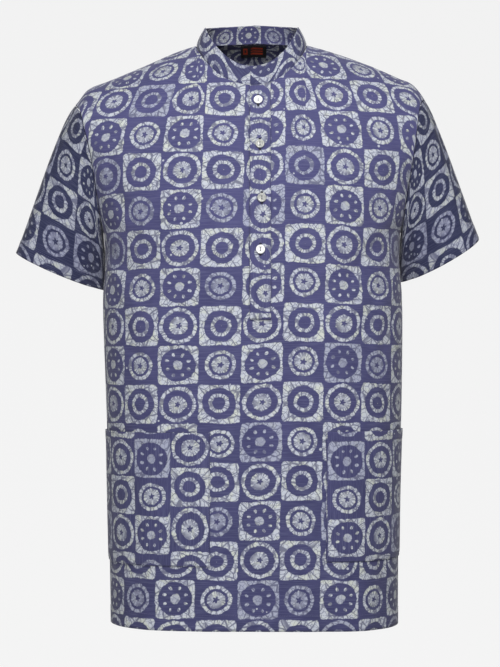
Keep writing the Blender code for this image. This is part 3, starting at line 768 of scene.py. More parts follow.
def half_columns(face, right):
    """Share from the opening (0) to the side (1), and top row, of each column of a half panel."""
    edge = NOTCH_X[1 if right else 0]
    angles = mix(float(neck_angle(edge)), np.pi / 2, np.linspace(0, 1, NECK_COLUMNS + 1))
    tops = neck_row(face, right, angles)
    q = np.abs(q_at(face, neck_plan(face, right, angles)[0], tops))
    inner = np.abs(q_at(face, edge, tops))
    shares = (q - inner) / (1 - inner)
    spaced = np.concatenate([np.linspace(0, SEAM_SHARES[0], SHOULDER_COLUMNS)[1:-1], SEAM_SHARES])
    shares = np.concatenate([shares, mix(shares[-1], 1, spaced)])
    return shares, np.concatenate([tops, np.ones(len(spaced))])


def row_heights(top):
    """Rows of every column: the body tube, with one row on the notch's end, then the yoke."""
    notch = level(NOTCH_Z)
    lower = round(BODY_ROWS * (notch + 1))
    body = np.concatenate([np.linspace(-1, notch, lower + 1)[:-1], np.linspace(notch, 0, BODY_ROWS - lower + 1)[:-1]])
    yoke = np.concatenate([np.linspace(0, 0.98, YOKE_ROWS), (0.988, 0.995, 1.0)])
    return np.concatenate([np.repeat(body[:, None], len(top), axis=1), yoke[:, None] * top[None, :]]), lower


def panel_grid(face):
    """q and r of a whole panel, the first column of its opening, and the row where it starts."""
    parts = {right: half_columns(face, right) for right in (False, True)}
    middle_x = np.linspace(*NOTCH_X, NOTCH_COLUMNS + 2)[1:-1]
    middle_top = neck_row(face, middle_x > 0, neck_angle(middle_x))
    tops = np.concatenate([parts[False][1][::-1], middle_top, parts[True][1]])
    r, notch_row = row_heights(tops)
    left_count, middle_count = len(parts[False][1]), len(middle_top)
    q = np.empty_like(r)
    for right, columns in ((False, slice(0, left_count)), (True, slice(left_count + middle_count, None))):
        shares = parts[right][0] if right else parts[right][0][::-1]
        inner = np.abs(q_at(face, NOTCH_X[1 if right else 0], r[:, columns]))
        q[:, columns] = mix(inner, 1, shares) * (1 if right else -1)
    between = slice(left_count, left_count + middle_count)
    q[:, between] = q_at(face, middle_x, r[:, between])
    return q, r, left_count - 1, notch_row


# %% The print on a body panel
BLOCK = {FRONT: (0.0528, 0.0518, 0.0486), BACK: (0.0522, 0.0522, 0.0486)}
PRINT_MIDDLE = {FRONT: -0.0093, BACK: 0.0130}
PRINT_LEAN = {FRONT: 0.0152, BACK: 0.0060}
PRINT_FOOT = {FRONT: 0.0150, BACK: -0.0110}
PRINT_SKEW = {FRONT: 0.0090, BACK: -0.0040}


def panel_print(face, points):
    """UV in blocks, from a column border near the middle and a row border near the hem."""
    flat = points * np.array([1, 1, 0])
    around = run_along(flat, 1)
    centre = points[:, points.shape[1] // 2, 2]
    border = PRINT_MIDDLE[face] + PRINT_LEAN[face] * (centre + 0.07)
    start = np.array([np.interp(b, row[:, 0], lengths) for b, row, lengths in zip(border, points, around)])
    away = around - start[:, None]
    u = np.where(away < 0, away / BLOCK[face][0], away / BLOCK[face][1])
    up = run_along(points, 0)
    lift = smooth_step(points[..., 0], -0.02, 0.05) * (points[..., 2] - HEM_Z) / -HEM_Z
    v = (up - PRINT_FOOT[face] - PRINT_SKEW[face] * lift) / BLOCK[face][2]
    return np.stack([u, v], axis=-1)


# %% Front and back
SEAM_ROLL = 0.0005
SEAM_ROLL_WIDTH = 0.004
HEM_FOLD = 0.020          # height of the turned hem
HEM_LIFT = 0.00035


def seam_roll(q, r):
    """How far the cloth dips next to the side, armhole and shoulder seams, and at the hem's sewing."""
    from_side = (1 - np.abs(q)) * 0.28
    from_ridge = (1 - r) * 0.20
    dip = np.exp(-from_side / SEAM_ROLL_WIDTH) + np.exp(-from_ridge / SEAM_ROLL_WIDTH) * (r > 0)
    hem = HEM_LIFT * (1 - smooth_step((r + 1) * (UNDERARM_Z - HEM_Z), HEM_FOLD - 0.001, HEM_FOLD + 0.001))
    return hem - SEAM_ROLL * dip


panel_uv = {}
body_cloth = {}
# The back's inside takes the cotton with painted shade.
for face, name, materials in ((FRONT, "front", [cotton]), (BACK, "back", [cotton, cotton_inside_painted_shade])):
    q, r, opening, notch_row = panel_grid(face)
    points = form(face, q, r, seam_roll(q, r))
    panel_uv[face] = panel_print(face, points)
    left_out = None
    if face == FRONT:
        left_out = np.zeros((q.shape[0] - 1, q.shape[1] - 1), bool)
        left_out[notch_row:, opening:opening + NOTCH_COLUMNS + 1] = True
    body_cloth[face] = cloth_shell(f"{name}_cloth", points, panel_uv[face], materials,
                                   flip=face == BACK, left_out=left_out)

# %% [markdown]
# ## The sleeves
#
# A set-in sleeve is a tube that starts along the armhole and ends in a level cuff. Each line down
# the tube is a curve that leaves the shoulder in the cloth's own direction and arrives at the cuff
# in line with the arm. The grid starts and ends at the underarm, where a real sleeve has its seam.

# %% Sleeve measurements
CUFFS = {                 # for left and right: middle, outer half width, front half depth
    False: ((-0.2485, 0.012, -0.2905), (-0.0575, -0.024, 0.0240), (0, -0.055, -0.0073)),
    True: ((0.2419, 0.012, -0.2757), (0.0513, -0.024, 0.0274), (0, -0.055, -0.0105)),
}
ARMHOLE_GAP = 0.0008
UNDERARM_TURN = 0.2
SLEEVE_START = 0.55
SLEEVE_END = 0.75
SLEEVE_COLUMNS = 112
SLEEVE_ROWS = 60
SLEEVE_FOLDS = (          # right side, degrees round the sleeve, half width, depth; the last two are the underarm
    (False, 62, 14, -0.0026),
    (False, 118, 16, 0.0022),
    (False, 245, 18, -0.0028),
    (True, 70, 15, -0.0024),
    (True, 125, 16, 0.0022),
    (True, 240, 18, -0.0028),
    (False, 176, 36, 0.0024),
    (True, 176, 36, 0.0024),
)
SLEEVE_CREASES = (        # right side, start and end as degrees and share down, half width, depth
    (False, (150, 0.05), (112, 0.62), 9, -0.0020),
    (False, (128, 0.02), (88, 0.48), 7, -0.0016),
    (False, (100, 0.00), (70, 0.36), 7, -0.0012),
    (False, (40, 0.10), (48, 0.85), 8, -0.0011),
    (False, (150, 0.45), (140, 1.00), 8, -0.0014),
    (False, (10, 0.30), (2, 1.00), 9, -0.0012),
    (False, (210, 0.05), (250, 0.60), 9, -0.0019),
    (False, (285, 0.05), (300, 0.80), 9, -0.0014),
    (False, (330, 0.20), (338, 1.00), 8, -0.0012),
    (True, (152, 0.05), (115, 0.66), 9, -0.0020),
    (True, (132, 0.02), (94, 0.44), 7, -0.0016),
    (True, (104, 0.00), (78, 0.34), 7, -0.0012),
    (True, (36, 0.15), (44, 0.90), 8, -0.0011),
    (True, (148, 0.50), (136, 1.00), 8, -0.0014),
    (True, (12, 0.25), (6, 1.00), 9, -0.0012),
    (True, (208, 0.05), (246, 0.64), 9, -0.0019),
    (True, (288, 0.05), (302, 0.85), 9, -0.0014),
    (True, (326, 0.25), (336, 1.00), 8, -0.0012),
)


# %% A point on a sleeve
def armhole_point(right, turn):
    """Armhole edge, the way the cloth leaves it, and its row. Turn 0 is on top, 90 in front."""
    turn = np.asarray(turn) % 360
    r = np.abs(1 - turn / 180)
    side = 1.0 if right else -1.0
    in_front = (turn <= 180)[..., None]
    edge = np.where(in_front, smooth_form(FRONT, side, r), smooth_form(BACK, side, r))
    inner = np.where(in_front, smooth_form(FRONT, side * 0.985, r), smooth_form(BACK, side * 0.985, r))
    return edge, unit(edge - inner), r[..., None]


def armhole_middle(right):
    top, bottom = (armhole_point(right, np.array(turn))[0] for turn in (0.0, 180.0))
    return (top + bottom) / 2


def sleeve_lift(right, turn, v):
    """Folds run the whole way down, and creases from a start to an end."""
    lift = np.zeros(np.broadcast(turn, v).shape)
    for side, middle, width, depth in SLEEVE_FOLDS:
        if side == right:
            away = (turn - middle + 180) % 360 - 180
            lift = lift + depth * np.exp(-(away / width) ** 2) * np.sin(np.pi * np.minimum(v * 1.2, 0.9))
    for side, (turn0, v0), (turn1, v1), width, depth in SLEEVE_CREASES:
        if side == right:
            t = np.clip((v - v0) / (v1 - v0), 0, 1)
            away = (turn - mix(turn0, turn1, t) + 180) % 360 - 180
            past = (v - mix(v0, v1, t)) * 110
            lift = lift + depth * np.exp(-(away / width) ** 2 - (past / width) ** 2) * np.minimum(v * 14, 1)
    return lift


def sleeve_point(right, turn, v, lift=0.0):
    """A point of the sleeve: v is 0 at the armhole and 1 at the cuff."""
    turn, v = np.broadcast_arrays(np.asarray(turn, float), np.asarray(v, float))
    edge, leaving, r = armhole_point(right, turn)
    middle, outer, front = (np.array(part) for part in CUFFS[right])
    angle = np.radians(turn)[..., None]
    end = middle + outer * np.cos(angle) + front * np.sin(angle)
    aside = np.array([1.0 if right else -1.0, 0, 0])
    sewn = mix(unit(aside + np.array([0, 0, 0.4])), leaving, np.minimum(1, 1.6 * r))
    start = edge + sewn * ARMHOLE_GAP
    span = np.linalg.norm(end - start, axis=-1, keepdims=True)
    down = unit(end - start)
    heading = unit(mix(down + aside * UNDERARM_TURN, leaving, np.minimum(1, 1.3 * r) ** 1.5))
    t = v[..., None]
    point = (start * (1 + 2 * t) * (1 - t) ** 2 + end * t * t * (3 - 2 * t)
             + heading * span * SLEEVE_START * t * (1 - t) ** 2 - down * span * SLEEVE_END * t * t * (1 - t))
    axis = mix(armhole_middle(right), middle, t)
    return point + unit(point - axis) * (sleeve_lift(right, turn, v) + lift)[..., None]


# %% Both sleeves
SLEEVE_BLOCK = {False: (0.0520, 0.0620, 0.0486), True: (0.0520, 0.0620, 0.0465)}
SLEEVE_PRINT_SHIFT = {False: (1.30, -0.32), True: (1.30, -0.47)}
SLEEVE_HEM = 0.90         # share down at which the cuff is sewn


def sleeve_roll(v):
    """The cloth dips at the armhole seam and stands a little proud on the turned cuff."""
    return HEM_LIFT * smooth_step(v, SLEEVE_HEM - 0.005, SLEEVE_HEM + 0.005) - SEAM_ROLL * np.exp(-v / 0.02)


sleeves = {}
for right, name in ((False, "sleeve_left"), (True, "sleeve_right")):
    turn = np.linspace(180, -180, SLEEVE_COLUMNS + 1)[None, :]
    v = np.concatenate([[0, 0.006, 0.014, 0.025], np.linspace(0.04, 1, SLEEVE_ROWS)])[:, None]
    turn, v = np.broadcast_arrays(turn, v)
    points = sleeve_point(right, turn, v, sleeve_roll(v))
    around = run_along(points, 1)
    from_front = around - around[:, SLEEVE_COLUMNS // 4][:, None]
    down = run_along(points, 0)
    from_cuff = down[-1] - down
    shift = SLEEVE_PRINT_SHIFT[right]
    outer, inner, along = SLEEVE_BLOCK[right]
    across = np.where(from_front > 0, from_front / outer, from_front / inner)
    uv = np.stack([across + shift[0], from_cuff / along + shift[1]], axis=-1)
    # The sleeves are darker all over with painted shade.
    sleeves[right] = cloth_shell(f"{name}_cloth", points[:, :-1], uv, [cotton_painted_shade], flip=right, closed=True)
    print(name, "cuff", round(float(around[-1, -1]), 3), "m round", round(float(down[-1].max()), 3), "m long")

# %% [markdown]
# ## The band collar
#
# A band collar is cut as a shallow arc, folded or faced, so that its top edge is shorter than the
# neck seam and leans in. On the flat arc the print stays straight, which is why its squares stand
# upright at the nape but turn into diamonds at the centre front. The UV map is that flat arc.

# %% A point on the band
BAND_HEIGHT = {FRONT: 0.0255, BACK: 0.0215}
BAND_LEAN = 0.85
BAND_OVER_X = -0.0030
BAND_UNDER_X = 0.0110
BAND_TUCK = 0.0022
BAND_INSET = 0.0010
BAND_RISE = 0.0005
BAND_WALL = 0.0015


def band_foot(turn):
    """Neck seam at a turn in degrees: 0 at the centre front, 90 at the right shoulder."""
    turn = np.asarray(turn) % 360
    right = turn < 180
    from_front = np.minimum(turn, 360 - turn)
    in_front = from_front <= 90
    angle = np.radians(np.where(in_front, from_front, 180 - from_front))
    ends = []
    for face in (FRONT, BACK):
        x, y = neck_plan(face, right, angle)
        row = neck_row(face, right, angle)
        ends.append(np.stack([x, face * y, smooth_form(face, q_at(face, x, row), row)[..., 2]], axis=-1))
    return np.where(in_front[..., None], ends[0], ends[1])


def band_point(foot, turn, v, lift=0.0):
    """A point of the band's outer side: v is 0 at the neck seam and 1 at the top edge."""
    share = (1 + np.cos(np.radians(turn))) / 2
    height = mix(BAND_HEIGHT[BACK], BAND_HEIGHT[FRONT], share)
    tuck = BAND_TUCK * np.clip((turn - 285) / 60, 0, 1) ** 2
    plan = foot * np.array([1, 1, 0])
    inset = (tuck + BAND_INSET - lift) / np.linalg.norm(plan, axis=-1)
    point = plan * (mix(1, BAND_LEAN, np.maximum(v, 0) ** 1.3) - inset)[..., None]
    point[..., 2] = foot[..., 2] + BAND_RISE + height * v
    return point


# %% Make the band
BAND_COLUMNS = 230
BAND_ROWS = 14
BAND_FLAT_TURN = 94       # degrees between the two ends of the arc it is cut to
BAND_PRINT_SHIFT = (2.14, 0.414)


def band_puff(v):
    """The doubled cloth stands a little proud between its two seams."""
    return 0.0004 * np.sin(np.pi * v)


band_ends = (-np.degrees(float(neck_angle(BAND_OVER_X))), 360 + np.degrees(float(neck_angle(BAND_UNDER_X))))
band_turn = np.linspace(*band_ends, BAND_COLUMNS + 1)
foot = band_foot(band_turn)
turn, v = np.meshgrid(band_turn, np.linspace(-0.10, 1, BAND_ROWS + 1))
points = band_point(np.broadcast_to(foot, (*turn.shape, 3)), turn, v, band_puff(v))
band_run = run_along(points, 1)
from_nape = band_run[:1] - band_run[0, BAND_COLUMNS // 2]
arc_radius = band_run[0, -1] / np.radians(BAND_FLAT_TURN)
theta = from_nape / arc_radius
band_up = run_along(points, 0)
from_centre = arc_radius - band_up
flat_band = np.stack([from_centre * np.sin(theta), arc_radius - from_centre * np.cos(theta)], axis=-1)
band_uv = flat_band / BLOCK_LENGTH + np.array(BAND_PRINT_SHIFT)
# The band is darker outside with painted shade, and a little darker inside.
band = cloth_shell("collar_band_cloth", points, band_uv, [cotton_band_painted_shade, band_inside_painted_shade], thickness=BAND_WALL)
soft_edge = band.modifiers.new("soft edge", "BEVEL")
soft_edge.width = 0.0005
soft_edge.segments = 2
soft_edge.limit_method = "ANGLE"
soft_edge.angle_limit = np.radians(50)
print("band", round(float(band_run[0, -1]), 3), "m round the neck seam")

# %% [markdown]
# ## The placket
#
# The opening is bound by two strips cut across the cloth, so their print lies on its side. The
# upper strip carries the buttonholes and shows. The button stand is beneath it. Both lie on the
# front's own form; the upper one lies just over it and dips where it is sewn down.

# %% Strips on the front
PLACKET_X = (-0.0034, 0.0090, 0.0227)
PLACKET_Z = -0.3557
PLACKET_BOX_Z = -0.3471   # upper line of the sewn box at the placket's foot
STAND_SLIT = 0.0025
STRIP_COLUMNS = 18
STRIP_ROWS = 120
ON_TOP = LAY_GAP + CLOTH


def strip_grid(x0, x1, bottom_z, top_gap):
    """q, r and distances of a strip of the front, from a height up to the neck seam."""
    x = np.linspace(x0, x1, STRIP_COLUMNS + 1)
    top = neck_row(FRONT, x >= 0, neck_angle(x)) - top_gap
    t = np.linspace(0, 1, STRIP_ROWS + 1)[:, None]
    r = mix(level(bottom_z), top[None, :], t)
    x = np.broadcast_to(x, r.shape)
    return q_at(FRONT, x, r), r, x


def edge_dip(away, depth, width=0.0022):
    """A dip of some depth next to an edge, for a distance from it."""
    return -depth * np.exp(-np.maximum(away, 0) / width)


def placket_lift(x, z):
    """The upper strip is flat in the middle, free on the left, and sewn down right and below."""
    sewn = edge_dip(PLACKET_X[2] - x, 0.0007) + edge_dip(z - PLACKET_Z, 0.0007)
    box = -0.0004 * np.exp(-((z - PLACKET_BOX_Z) / 0.0012) ** 2)
    return ON_TOP + sewn + box + 0.0002 * np.exp(-np.maximum(x - PLACKET_X[0], 0) / 0.003)


PLACKET_PITCH = 0.0488
PLACKET_FIRST = -0.0781   # height of the middle of the topmost block


def placket_print(points):
    """The strip is cut across the cloth: the print's columns run down it and its rows across."""
    middle = 0.0055 + 0.0455 * (PLACKET_FIRST - points[..., 2])
    down = (PLACKET_FIRST - points[..., 2]) / PLACKET_PITCH
    return np.stack([down + 1.5, (points[..., 0] - middle) / BLOCK_LENGTH + 1.5], axis=-1)


q, r, x = strip_grid(PLACKET_X[0], PLACKET_X[2], PLACKET_Z, 0.004)
flat_points = form(FRONT, q, r)
points = form(FRONT, q, r, placket_lift(x, flat_points[..., 2]))
placket = cloth_shell("placket_upper_cloth", points, placket_print(points), [cotton], thickness=0.0009)
q, r, x = strip_grid(NOTCH_X[0] + SEAM_GAP, NOTCH_X[1] - STAND_SLIT, NOTCH_Z + SEAM_GAP, 0.004)
points = form(FRONT, q, r)
stand = cloth_shell("placket_under_cloth", points, placket_print(points) + 0.37, [cotton], thickness=0.0009)

# %% [markdown]
# ## The patch pockets
#
# Each pocket is a rectangle sewn on along its inner and lower edges and caught in the side seam.
# It is cut across the cloth too. The mouth has a wide turned hem and stands a little open, and
# the middle bags slightly, because a pocket is always a little wider than the place it covers.

# %% Pockets
POCKETS = {False: (-0.0527, -0.6620, -0.4960), True: (0.0912, -0.6560, -0.4945)}
POCKET_ROWS = 84
POCKET_COLUMNS = 84
POCKET_HEM = 0.0115
POCKET_PRINT = {          # right side: middle across and height of a block, its column and row
    False: (-0.1244, -0.5760, 1.5, 2.5),
    True: (0.1165, -0.5790, 1.5, 2.5),
}
POCKET_BLOCK = (0.0480, 0.0505)
POCKET_TURN = 0.014       # the pocket thins out over this much next to the side seam
POCKET_SLIP = (0.005, 0.0135)  # the left pocket's inner column was stamped this much higher, below and above


def pocket_lift(right, from_inner, from_side, z):
    """Height over the front of a place on a pocket."""
    inner, bottom, top = POCKETS[right]
    height = (z - bottom) / (top - bottom)
    wide = from_inner / (from_inner + from_side)
    bag = 0.0011 * np.sin(np.pi * np.clip(wide, 0, 1)) * np.sin(np.pi * np.clip(height * 0.9 + 0.08, 0, 1))
    mouth = 0.0006 * smooth_step(height, 0.80, 1.0) * np.sin(np.pi * np.clip(wide, 0, 1))
    hem = 0.0003 * smooth_step(z, top - POCKET_HEM - 0.0008, top - POCKET_HEM + 0.0008)
    sewn = edge_dip(from_inner, 0.0008) + edge_dip(z - bottom, 0.0008)
    return 0.0004 + (ON_TOP - 0.0004 + bag + mouth + hem + sewn) * smooth_step(from_side, -0.002, POCKET_TURN)


def pocket_grid(right):
    inner, bottom, top = POCKETS[right]
    z = np.linspace(bottom, top, POCKET_ROWS + 1)
    r = np.repeat(level(z)[:, None], POCKET_COLUMNS + 1, axis=1)
    start = q_at(FRONT, inner, r[:, 0])[:, None]
    t = np.linspace(0, 1, POCKET_COLUMNS + 1)[None, :]
    q = mix(start, 1.0 if right else -1.0, t)
    if not right:
        q = q[:, ::-1]
    return q, r


pocket_cloth = {}
for right, name in ((False, "pocket_left"), (True, "pocket_right")):
    q, r = pocket_grid(right)
    base = smooth_form(FRONT, q, r)
    around = run_along(base * np.array([1, 1, 0]), 1)
    from_inner = around if right else around[:, -1:] - around
    from_side = around[:, -1:] - from_inner
    points = form(FRONT, q, r, pocket_lift(right, from_inner, from_side, base[..., 2]))
    x_mark, z_mark, column, row = POCKET_PRINT[right]
    mark = np.array([np.interp(x_mark, line, run) for line, run in zip(base[..., 0], around)])[:, None]
    outwards = 1.0 if right else -1.0
    if not right:
        slip = mix(*POCKET_SLIP, smooth_step(base[..., 2], -0.640, -0.575))
        z_mark = z_mark + slip * (1 - smooth_step(from_inner, 0.0495, 0.0525))
    uv = np.stack([(points[..., 2] - z_mark) / POCKET_BLOCK[0] + column,
                   outwards * (around - mark) / POCKET_BLOCK[1] + row], axis=-1)
    pocket_cloth[right] = cloth_shell(f"{name}_cloth", points, uv, [cotton], thickness=0.0008)

# %% [markdown]
# ## The neck label
#
# A woven label is satin damask: the ground and the figure are the same threads turned over, so
# the figure has its own sheen. This one has a hollow rectangle and three bars.

# %% Label cloth
LABEL_X = (-0.0155, 0.0187)
LABEL_HEIGHT = 0.0136
LABEL_DROP = 0.0010
LABEL_GAP = 0.0014
LABEL_BLACK = (0.0060, 0.0055, 0.0060, 1)
LABEL_ORANGE = (0.42, 0.045, 0.012, 1)


def bar(tree, value, middle, half):
    """1 inside a bar across one coordinate, 0 outside."""
    off = maths(tree, "ABSOLUTE", maths(tree, "SUBTRACT", value, middle))
    return soft_step(tree, off, half, 0.008, 1, 0)


def label_weave():
    material, tree, shader = new_finish("label_weave")
    source = tree.nodes.new("ShaderNodeUVMap")
    source.uv_map = "print"
    u, v = split_xyz(tree, source.outputs["UV"])
    figure = 0.0
    for middle_u, half_u, middle_v, half_v in ((0.17, 0.085, 0.5, 0.26), (0.62, 0.24, 0.72, 0.07),
                                              (0.62, 0.24, 0.50, 0.045), (0.62, 0.24, 0.29, 0.07)):
        patch = maths(tree, "MULTIPLY", bar(tree, u, middle_u, half_u), bar(tree, v, middle_v, half_v))
        figure = maths(tree, "MAXIMUM", figure, patch)
    core = maths(tree, "MULTIPLY", bar(tree, u, 0.17, 0.035), bar(tree, v, 0.5, 0.12))
    figure = maths(tree, "SUBTRACT", figure, core)
    thread = maths(tree, "SINE", maths(tree, "MULTIPLY", v, 280.0))
    cross = maths(tree, "SINE", maths(tree, "MULTIPLY", u, 620.0))
    satin = maths(tree, "MULTIPLY", thread, cross)
    colour = blend(tree, figure, LABEL_BLACK, LABEL_ORANGE)
    colour = blend(tree, maths(tree, "MULTIPLY_ADD", satin, 0.12, 0.12), colour, LABEL_BLACK)
    plug(tree, shader.inputs["Base Color"], colour)
    plug(tree, shader.inputs["Roughness"], maths(tree, "MULTIPLY_ADD", figure, 0.15, 0.45))
    raise_surface(tree, shader, maths(tree, "MULTIPLY_ADD", satin, 0.3, figure), 0.5, 0.0003)
    return material


# %% Make the label
LABEL_COLUMNS = 24
LABEL_ROWS = 12


def row_at(face, x, z, top):
    """Row of a place in the yoke, below row top, from its distance and height."""
    low = np.zeros(np.broadcast(x, z).shape)
    return search(low, low + top, lambda r: smooth_form(face, q_at(face, x, r), r)[..., 2] > z)


x = np.linspace(*LABEL_X, LABEL_COLUMNS + 1)
seam = neck_row(BACK, x >= 0, neck_angle(x))
seam_z = smooth_form(BACK, q_at(BACK, x, seam), seam)[..., 2] - LABEL_DROP
ends = [row_at(BACK, x, seam_z - drop, seam) for drop in (LABEL_HEIGHT, 0.0)]
t = np.linspace(0, 1, LABEL_ROWS + 1)[:, None]
r = mix(ends[0][None, :], ends[1][None, :], t)
points = form(BACK, q_at(BACK, np.broadcast_to(x, r.shape), r), r, -(CLOTH + LABEL_GAP))
uv = np.stack(np.meshgrid(np.linspace(0, 1, LABEL_COLUMNS + 1), t[:, 0]), axis=-1)
label = cloth_shell("neck_label_woven", points, uv, [label_weave()], thickness=0.0006)

# %% [markdown]
# ## The buttons
#
# A shirt button is turned on a lathe: a flat back, a rounded rim and a dished middle with two
# holes. Here the profile is spun round its axis and the holes are drilled with a Boolean, which is
# the same order of work. The first and last are plain white, and the two between are greyer.

# %% Button finish
def button_finish(name, light, dark):
    """Pearly resin: clouded colour and a gloss coat."""
    material, tree, shader = new_finish(name)
    place = tree.nodes.new("ShaderNodeTexCoord").outputs["Object"]
    cloud = soft_step(tree, noise(tree, place, 320.0, detail=3.0), 0.5, 0.2)
    plug(tree, shader.inputs["Base Color"], blend(tree, cloud, light, dark))
    plug(tree, shader.inputs["Roughness"], maths(tree, "MULTIPLY_ADD", cloud, 0.10, 0.22))
    shader.inputs["Coat Weight"].default_value = 0.35
    shader.inputs["Coat Roughness"].default_value = 0.12
    shader.inputs["Subsurface Weight"].default_value = 0.0
    return material


white_shell = button_finish("button_white", (0.86, 0.86, 0.84, 1), (0.70, 0.70, 0.69, 1))
grey_shell = button_finish("button_grey", (0.44, 0.44, 0.40, 1), (0.26, 0.27, 0.27, 1))

# %% Turn and drill a button
BUTTON_DIAMETER = 0.0114
BUTTON_THICKNESS = 0.0024
BUTTON_RIM = 0.0011
BUTTON_DISH = 0.0006
BUTTON_HOLE = 0.0016
BUTTON_HOLE_SPACING = 0.0032
BUTTON_STEPS = 64
BUTTON_SEAT = 2 * LAY_GAP + CLOTH  # height of a button's back over the front
BUTTONS = (               # across, height, finish
    (0.0071, -0.0800, white_shell),
    (0.0093, -0.1370, grey_shell),
    (0.0114, -0.2046, grey_shell),
    (0.0097, -0.2682, white_shell),
)


def button_profile():
    radius = BUTTON_DIAMETER / 2
    dish = BUTTON_THICKNESS - BUTTON_DISH
    return [(0, dish), (radius - 2 * BUTTON_RIM, dish), (radius - 1.5 * BUTTON_RIM, dish + BUTTON_DISH * 0.6),
            (radius - 1.1 * BUTTON_RIM, BUTTON_THICKNESS), (radius - 0.6 * BUTTON_RIM, BUTTON_THICKNESS * 0.97),
            (radius - 0.2 * BUTTON_RIM, BUTTON_THICKNESS * 0.80), (radius, BUTTON_THICKNESS * 0.52),
            (radius - 0.3 * BUTTON_RIM, BUTTON_THICKNESS * 0.22), (radius - BUTTON_RIM, 0), (0, 0)]


def turned_button():
    """A button at the origin, facing +Z, its two holes one above the other."""
    turned = bmesh.new()
    line = [turned.verts.new((x, 0, z)) for x, z in button_profile()]
    edges = [turned.edges.new(pair) for pair in zip(line, line[1:])]
    bmesh.ops.spin(turned, geom=line + edges, cent=(0, 0, 0), axis=(0, 0, 1), angle=2 * np.pi,
                   steps=BUTTON_STEPS, use_merge=True)
    bmesh.ops.remove_doubles(turned, verts=turned.verts, dist=1e-6)
    bmesh.ops.recalc_face_normals(turned, faces=turned.faces)
    mesh = bpy.data.meshes.new("turned button")
    turned.to_mesh(mesh)
    turned.free()
    blank = add_object("turned button", mesh)
    drills = []
    for offset in (-BUTTON_HOLE_SPACING / 2, BUTTON_HOLE_SPACING / 2):
        hole = bmesh.new()
        bmesh.ops.create_cone(hole, cap_ends=True, segments=20, radius1=BUTTON_HOLE / 2, radius2=BUTTON_HOLE / 2,
                              depth=BUTTON_THICKNESS * 3, matrix=Matrix.Translation((0, offset, 0)))
        drill_mesh = bpy.data.meshes.new("drill")
        hole.to_mesh(drill_mesh)
        hole.free()
        drill = add_object("drill", drill_mesh)
        drills.append(drill)
        cut = blank.modifiers.new("drill", "BOOLEAN")
        cut.object = drill
        cut.solver = "EXACT"
    bpy.context.view_layer.update()
    result = bpy.data.meshes.new_from_object(blank.evaluated_get(bpy.context.evaluated_depsgraph_get()))
    for item in [blank] + drills:
        bpy.data.objects.remove(item, do_unlink=True)
    return result


# %% Sew the buttons on
def seat(x, z, lift):
    """A matrix that stands something on the placket, facing out."""
    x, z = np.array(x), np.array(z)
    r = level(z) if z < UNDERARM_Z else row_at(FRONT, x, z, 0.9)
    q = q_at(FRONT, x, r)
    out = Vector(outward(FRONT, q, r))
    up = out.cross(Vector((1, 0, 0))).normalized()
    right = up.cross(out).normalized()
    turn = Matrix((right, up, out)).transposed().to_4x4()
    return Matrix.Translation(Vector(form(FRONT, q, r, np.array(lift)))) @ turn


button_mesh = turned_button()
button_pieces = []
for number, (x, z, finish) in enumerate(BUTTONS, start=1):
    mesh = button_mesh.copy()
    mesh.transform(seat(x, z, BUTTON_SEAT))
    mesh.materials.clear()
    mesh.materials.append(finish)
    mesh.shade_smooth()
    button_pieces.append(add_object(f"button_{number}_turned", mesh))
print("a button has", len(button_mesh.polygons), "faces")

# %% [markdown]
# ## Sewing
#
# Stitches follow a path at an even pitch, so Geometry Nodes make them: a path of points becomes a
# curve, the curve is cut into equal steps, and a small rounded bar is put on each step and turned
# along it. The same tree makes a running stitch, whose bar is long along the path, and the close
# satin bars of a buttonhole, whose bar lies across it.

# %% The stitch tree
def node(tree, kind, **settings):
    made = tree.nodes.new(kind)
    for key, value in settings.items():
        setattr(made, key, value)
    return made


def stitch_tree():
    """Geometry in: paths as loose edges. Inputs: pitch, and size across, deep and along."""
    tree = bpy.data.node_groups.new("stitches", "GeometryNodeTree")
    face = tree.interface
    face.new_socket("Geometry", in_out="INPUT", socket_type="NodeSocketGeometry")
    for name in ("Pitch", "Across", "Deep", "Along"):
        face.new_socket(name, in_out="INPUT", socket_type="NodeSocketFloat")
    face.new_socket("Thread", in_out="INPUT", socket_type="NodeSocketMaterial")
    face.new_socket("Geometry", in_out="OUTPUT", socket_type="NodeSocketGeometry")
    start, end = node(tree, "NodeGroupInput"), node(tree, "NodeGroupOutput")
    curve = node(tree, "GeometryNodeMeshToCurve")
    steps = node(tree, "GeometryNodeResampleCurve", mode="LENGTH")
    along = node(tree, "GeometryNodeInputTangent")
    turn = node(tree, "FunctionNodeAlignRotationToVector", axis="Z")
    bead = node(tree, "GeometryNodeMeshUVSphere")
    bead.inputs["Segments"].default_value = 6
    bead.inputs["Rings"].default_value = 4
    bead.inputs["Radius"].default_value = 0.5
    size = node(tree, "ShaderNodeCombineXYZ")
    place = node(tree, "GeometryNodeInstanceOnPoints")
    real = node(tree, "GeometryNodeRealizeInstances")
    finish = node(tree, "GeometryNodeSetMaterial")
    smooth = node(tree, "GeometryNodeSetShadeSmooth")
    for source, target in (
        (start.outputs["Geometry"], curve.inputs["Mesh"]),
        (curve.outputs["Curve"], steps.inputs["Curve"]),
        (start.outputs["Pitch"], steps.inputs["Length"]),
        (steps.outputs["Curve"], place.inputs["Points"]),
        (bead.outputs["Mesh"], place.inputs["Instance"]),
        (along.outputs["Tangent"], turn.inputs["Vector"]),
        (turn.outputs["Rotation"], place.inputs["Rotation"]),
        (start.outputs["Across"], size.inputs["X"]),
        (start.outputs["Deep"], size.inputs["Y"]),
        (start.outputs["Along"], size.inputs["Z"]),
        (size.outputs["Vector"], place.inputs["Scale"]),
        (place.outputs["Instances"], real.inputs["Geometry"]),
        (real.outputs["Geometry"], smooth.inputs["Geometry"]),
        (smooth.outputs["Geometry"], finish.inputs["Geometry"]),
        (start.outputs["Thread"], finish.inputs["Material"]),
        (finish.outputs["Geometry"], end.inputs["Geometry"]),
    ):
        tree.links.new(source, target)
    return tree


STITCHES = stitch_tree()


